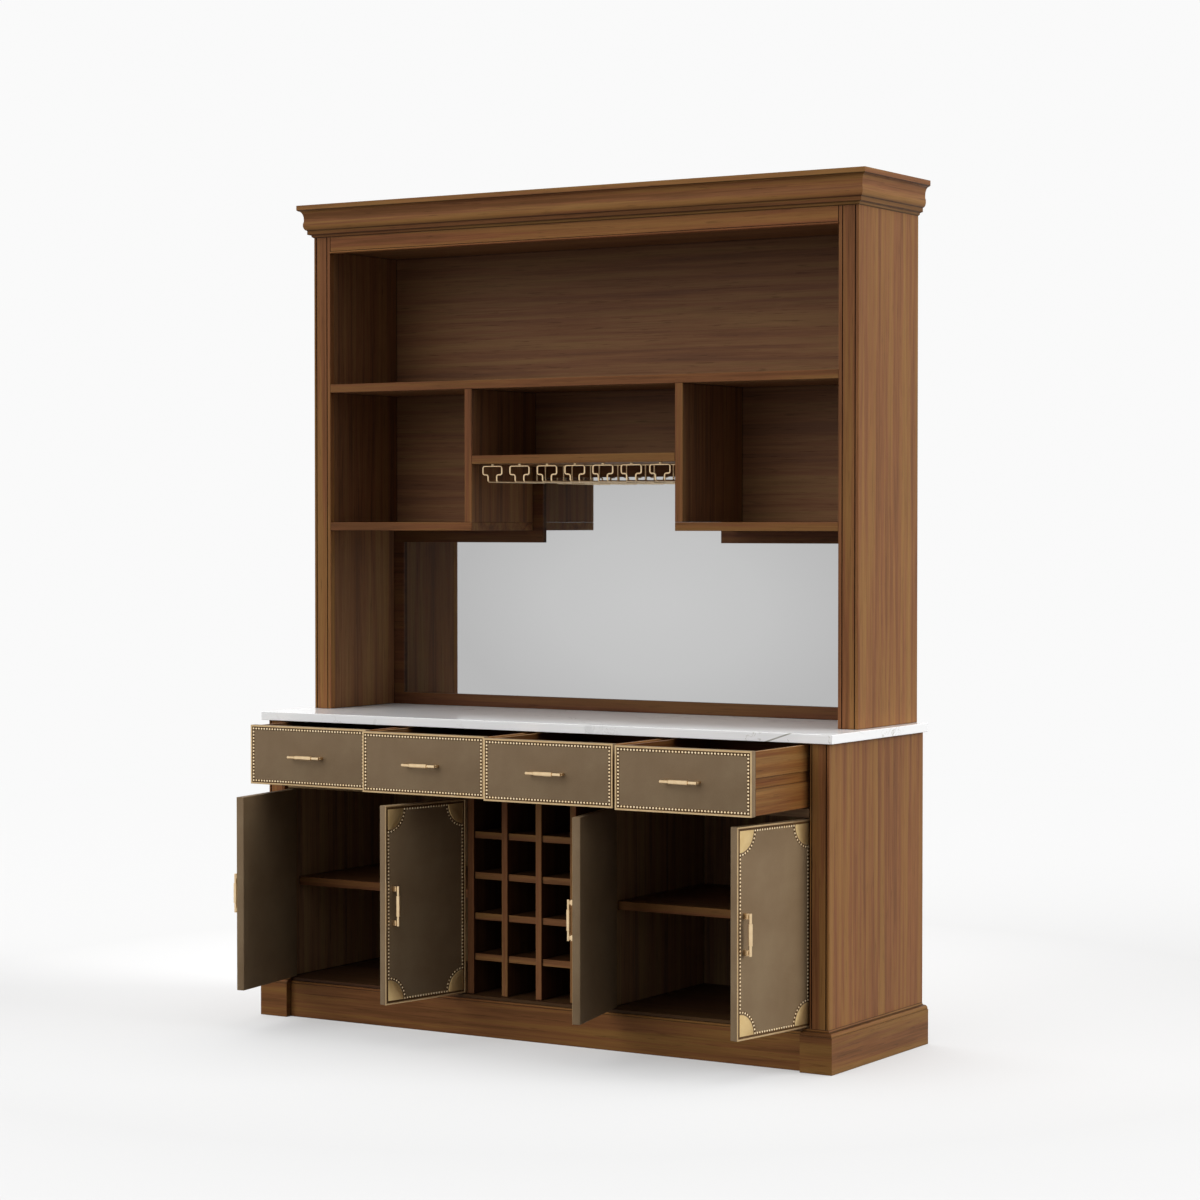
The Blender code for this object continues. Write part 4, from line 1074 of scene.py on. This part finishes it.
# Painted light on the floor: a glow that is strongest near the object and fades outwards
FLOOR_GLOW_MIDDLE = (-0.2, 0.4, 0.0)
FLOOR_GLOW_NEAR = 0.376
FLOOR_GLOW_FAR = 0.156
FLOOR_GLOW_NEAR_R = 0.4
FLOOR_GLOW_FAR_R = 2.2
FLOOR_SHADE = 0.50
FLOOR_BOUNCE = 0.12
FLOOR_NEAR_R = 3.0
FLOOR_FAR_R = 9.0
FLOOR_HALF = 60.0
FLOOR_SINK = 0.0005
KEY_TOWARD = (0.93, 0.22, 0.34)
KEY_STRENGTH = 2.05
KEY_SOFTNESS = 35.0
FILL_TOWARD = (-0.42, -0.82, 0.38)
FILL_STRENGTH = 1.25
FILL_SOFTNESS = 60.0
FLOOR_LIGHT = 1.95


def floor_distance(tree, middle):
    """How far a point on the floor is from a given one."""
    return tree.length(tree.vector("SUBTRACT", tree.object_place(), middle))


def floor_paint():
    """Pale floor that shows the object's shadow, lightened by a painted glow near the object, and
    turns into the backdrop's tone far off.
    """
    tree = Tree("studio_floor_paint")
    tree.nodes.remove(tree.shader)
    shown = ray_mask(tree)
    lit = tree.add("ShaderNodeBsdfDiffuse")
    tree.put(lit.inputs["Color"], tree.grey(tree.between(shown, FLOOR_BOUNCE, FLOOR_SHADE)))
    glow = tree.add("ShaderNodeEmission")
    strength = tree.map_range(floor_distance(tree, FLOOR_GLOW_MIDDLE),
                              FLOOR_GLOW_NEAR_R, FLOOR_GLOW_FAR_R,
                              FLOOR_GLOW_NEAR, FLOOR_GLOW_FAR)
    tree.put(glow.inputs["Strength"], tree.math("MULTIPLY", shown, strength))
    near = tree.add("ShaderNodeAddShader")
    tree.put(near.inputs[0], lit.outputs[0])
    tree.put(near.inputs[1], glow.outputs[0])
    far = tree.add("ShaderNodeEmission")
    tree.put(far.inputs["Strength"],
             tree.between(shown, FLOOR_BOUNCE * FLOOR_LIGHT, BACKGROUND))
    share = tree.map_range(floor_distance(tree, (0.0, 0.0, 0.0)), FLOOR_NEAR_R, FLOOR_FAR_R,
                           0.0, 1.0, "SMOOTHERSTEP")
    blend = tree.add("ShaderNodeMixShader")
    tree.put(blend.inputs[0], share)
    tree.put(blend.inputs[1], near.outputs[0])
    tree.put(blend.inputs[2], far.outputs[0])
    tree.put(tree.nodes["Material Output"].inputs["Surface"], blend.outputs[0])
    return tree.material


def studio():
    """Pale world, floor, soft suns and the camera."""
    scene = bpy.context.scene
    world = bpy.data.worlds.new("studio")
    scene.world = world
    tree = WorldTree(world)
    toward = tree.add("ShaderNodeTexCoord").outputs["Generated"]
    height = tree.math("MAXIMUM", tree.parts(toward)[2], 0.0)
    sky = tree.math("MULTIPLY_ADD", height, SKY_RISE, SKY_HORIZON)
    aim = tree.vector("DOT_PRODUCT", toward, SKY_DIP_TOWARD, "Value")
    dip = tree.map_range(aim, SKY_DIP_EDGE, SKY_DIP_CORE, 1.0, 1.0 - SKY_DIP, "SMOOTHSTEP")
    strength = tree.between(ray_mask(tree), tree.math("MULTIPLY", sky, dip), BACKGROUND)
    tree.put(tree.shader.inputs["Strength"], strength)
    tree.shader.inputs["Color"].default_value = (1.0, 1.0, 1.0, 1.0)

    cage = bmesh.new()
    bmesh.ops.create_grid(cage, x_segments=1, y_segments=1, size=FLOOR_HALF)
    mesh = bpy.data.meshes.new("studio_floor")
    cage.to_mesh(mesh)
    cage.free()
    floor = bpy.data.objects.new("studio_floor", mesh)
    floor.location = (0, 0, -FLOOR_SINK)
    scene.collection.objects.link(floor)
    mesh.materials.append(floor_paint())

    def sun(name, toward, strength, softness):
        """A soft far lamp that shines from one direction and isn't mirrored in glossy surfaces."""
        lamp = bpy.data.lights.new(name, "SUN")
        lamp.energy = strength
        lamp.angle = math.radians(softness)
        thing = bpy.data.objects.new(name, lamp)
        thing.rotation_euler = Vector(toward).to_track_quat("Z", "Y").to_euler()
        thing.visible_glossy = False
        scene.collection.objects.link(thing)

    sun("key_sun", KEY_TOWARD, KEY_STRENGTH, KEY_SOFTNESS)
    sun("fill_sun", FILL_TOWARD, FILL_STRENGTH, FILL_SOFTNESS)

    lens = bpy.data.cameras.new("photo_camera")
    lens.lens = CAMERA_LENS
    lens.sensor_width = CAMERA_SENSOR
    lens.clip_start = CAMERA_NEAR
    lens.clip_end = CAMERA_FAR
    camera = bpy.data.objects.new("photo_camera", lens)
    camera.location = CAMERA_PLACE
    camera.rotation_euler = (math.radians(90.0 + CAMERA_PITCH), 0.0, math.radians(CAMERA_YAW))
    scene.collection.objects.link(camera)
    scene.camera = camera
    scene.view_settings.view_transform = "Standard"


studio()
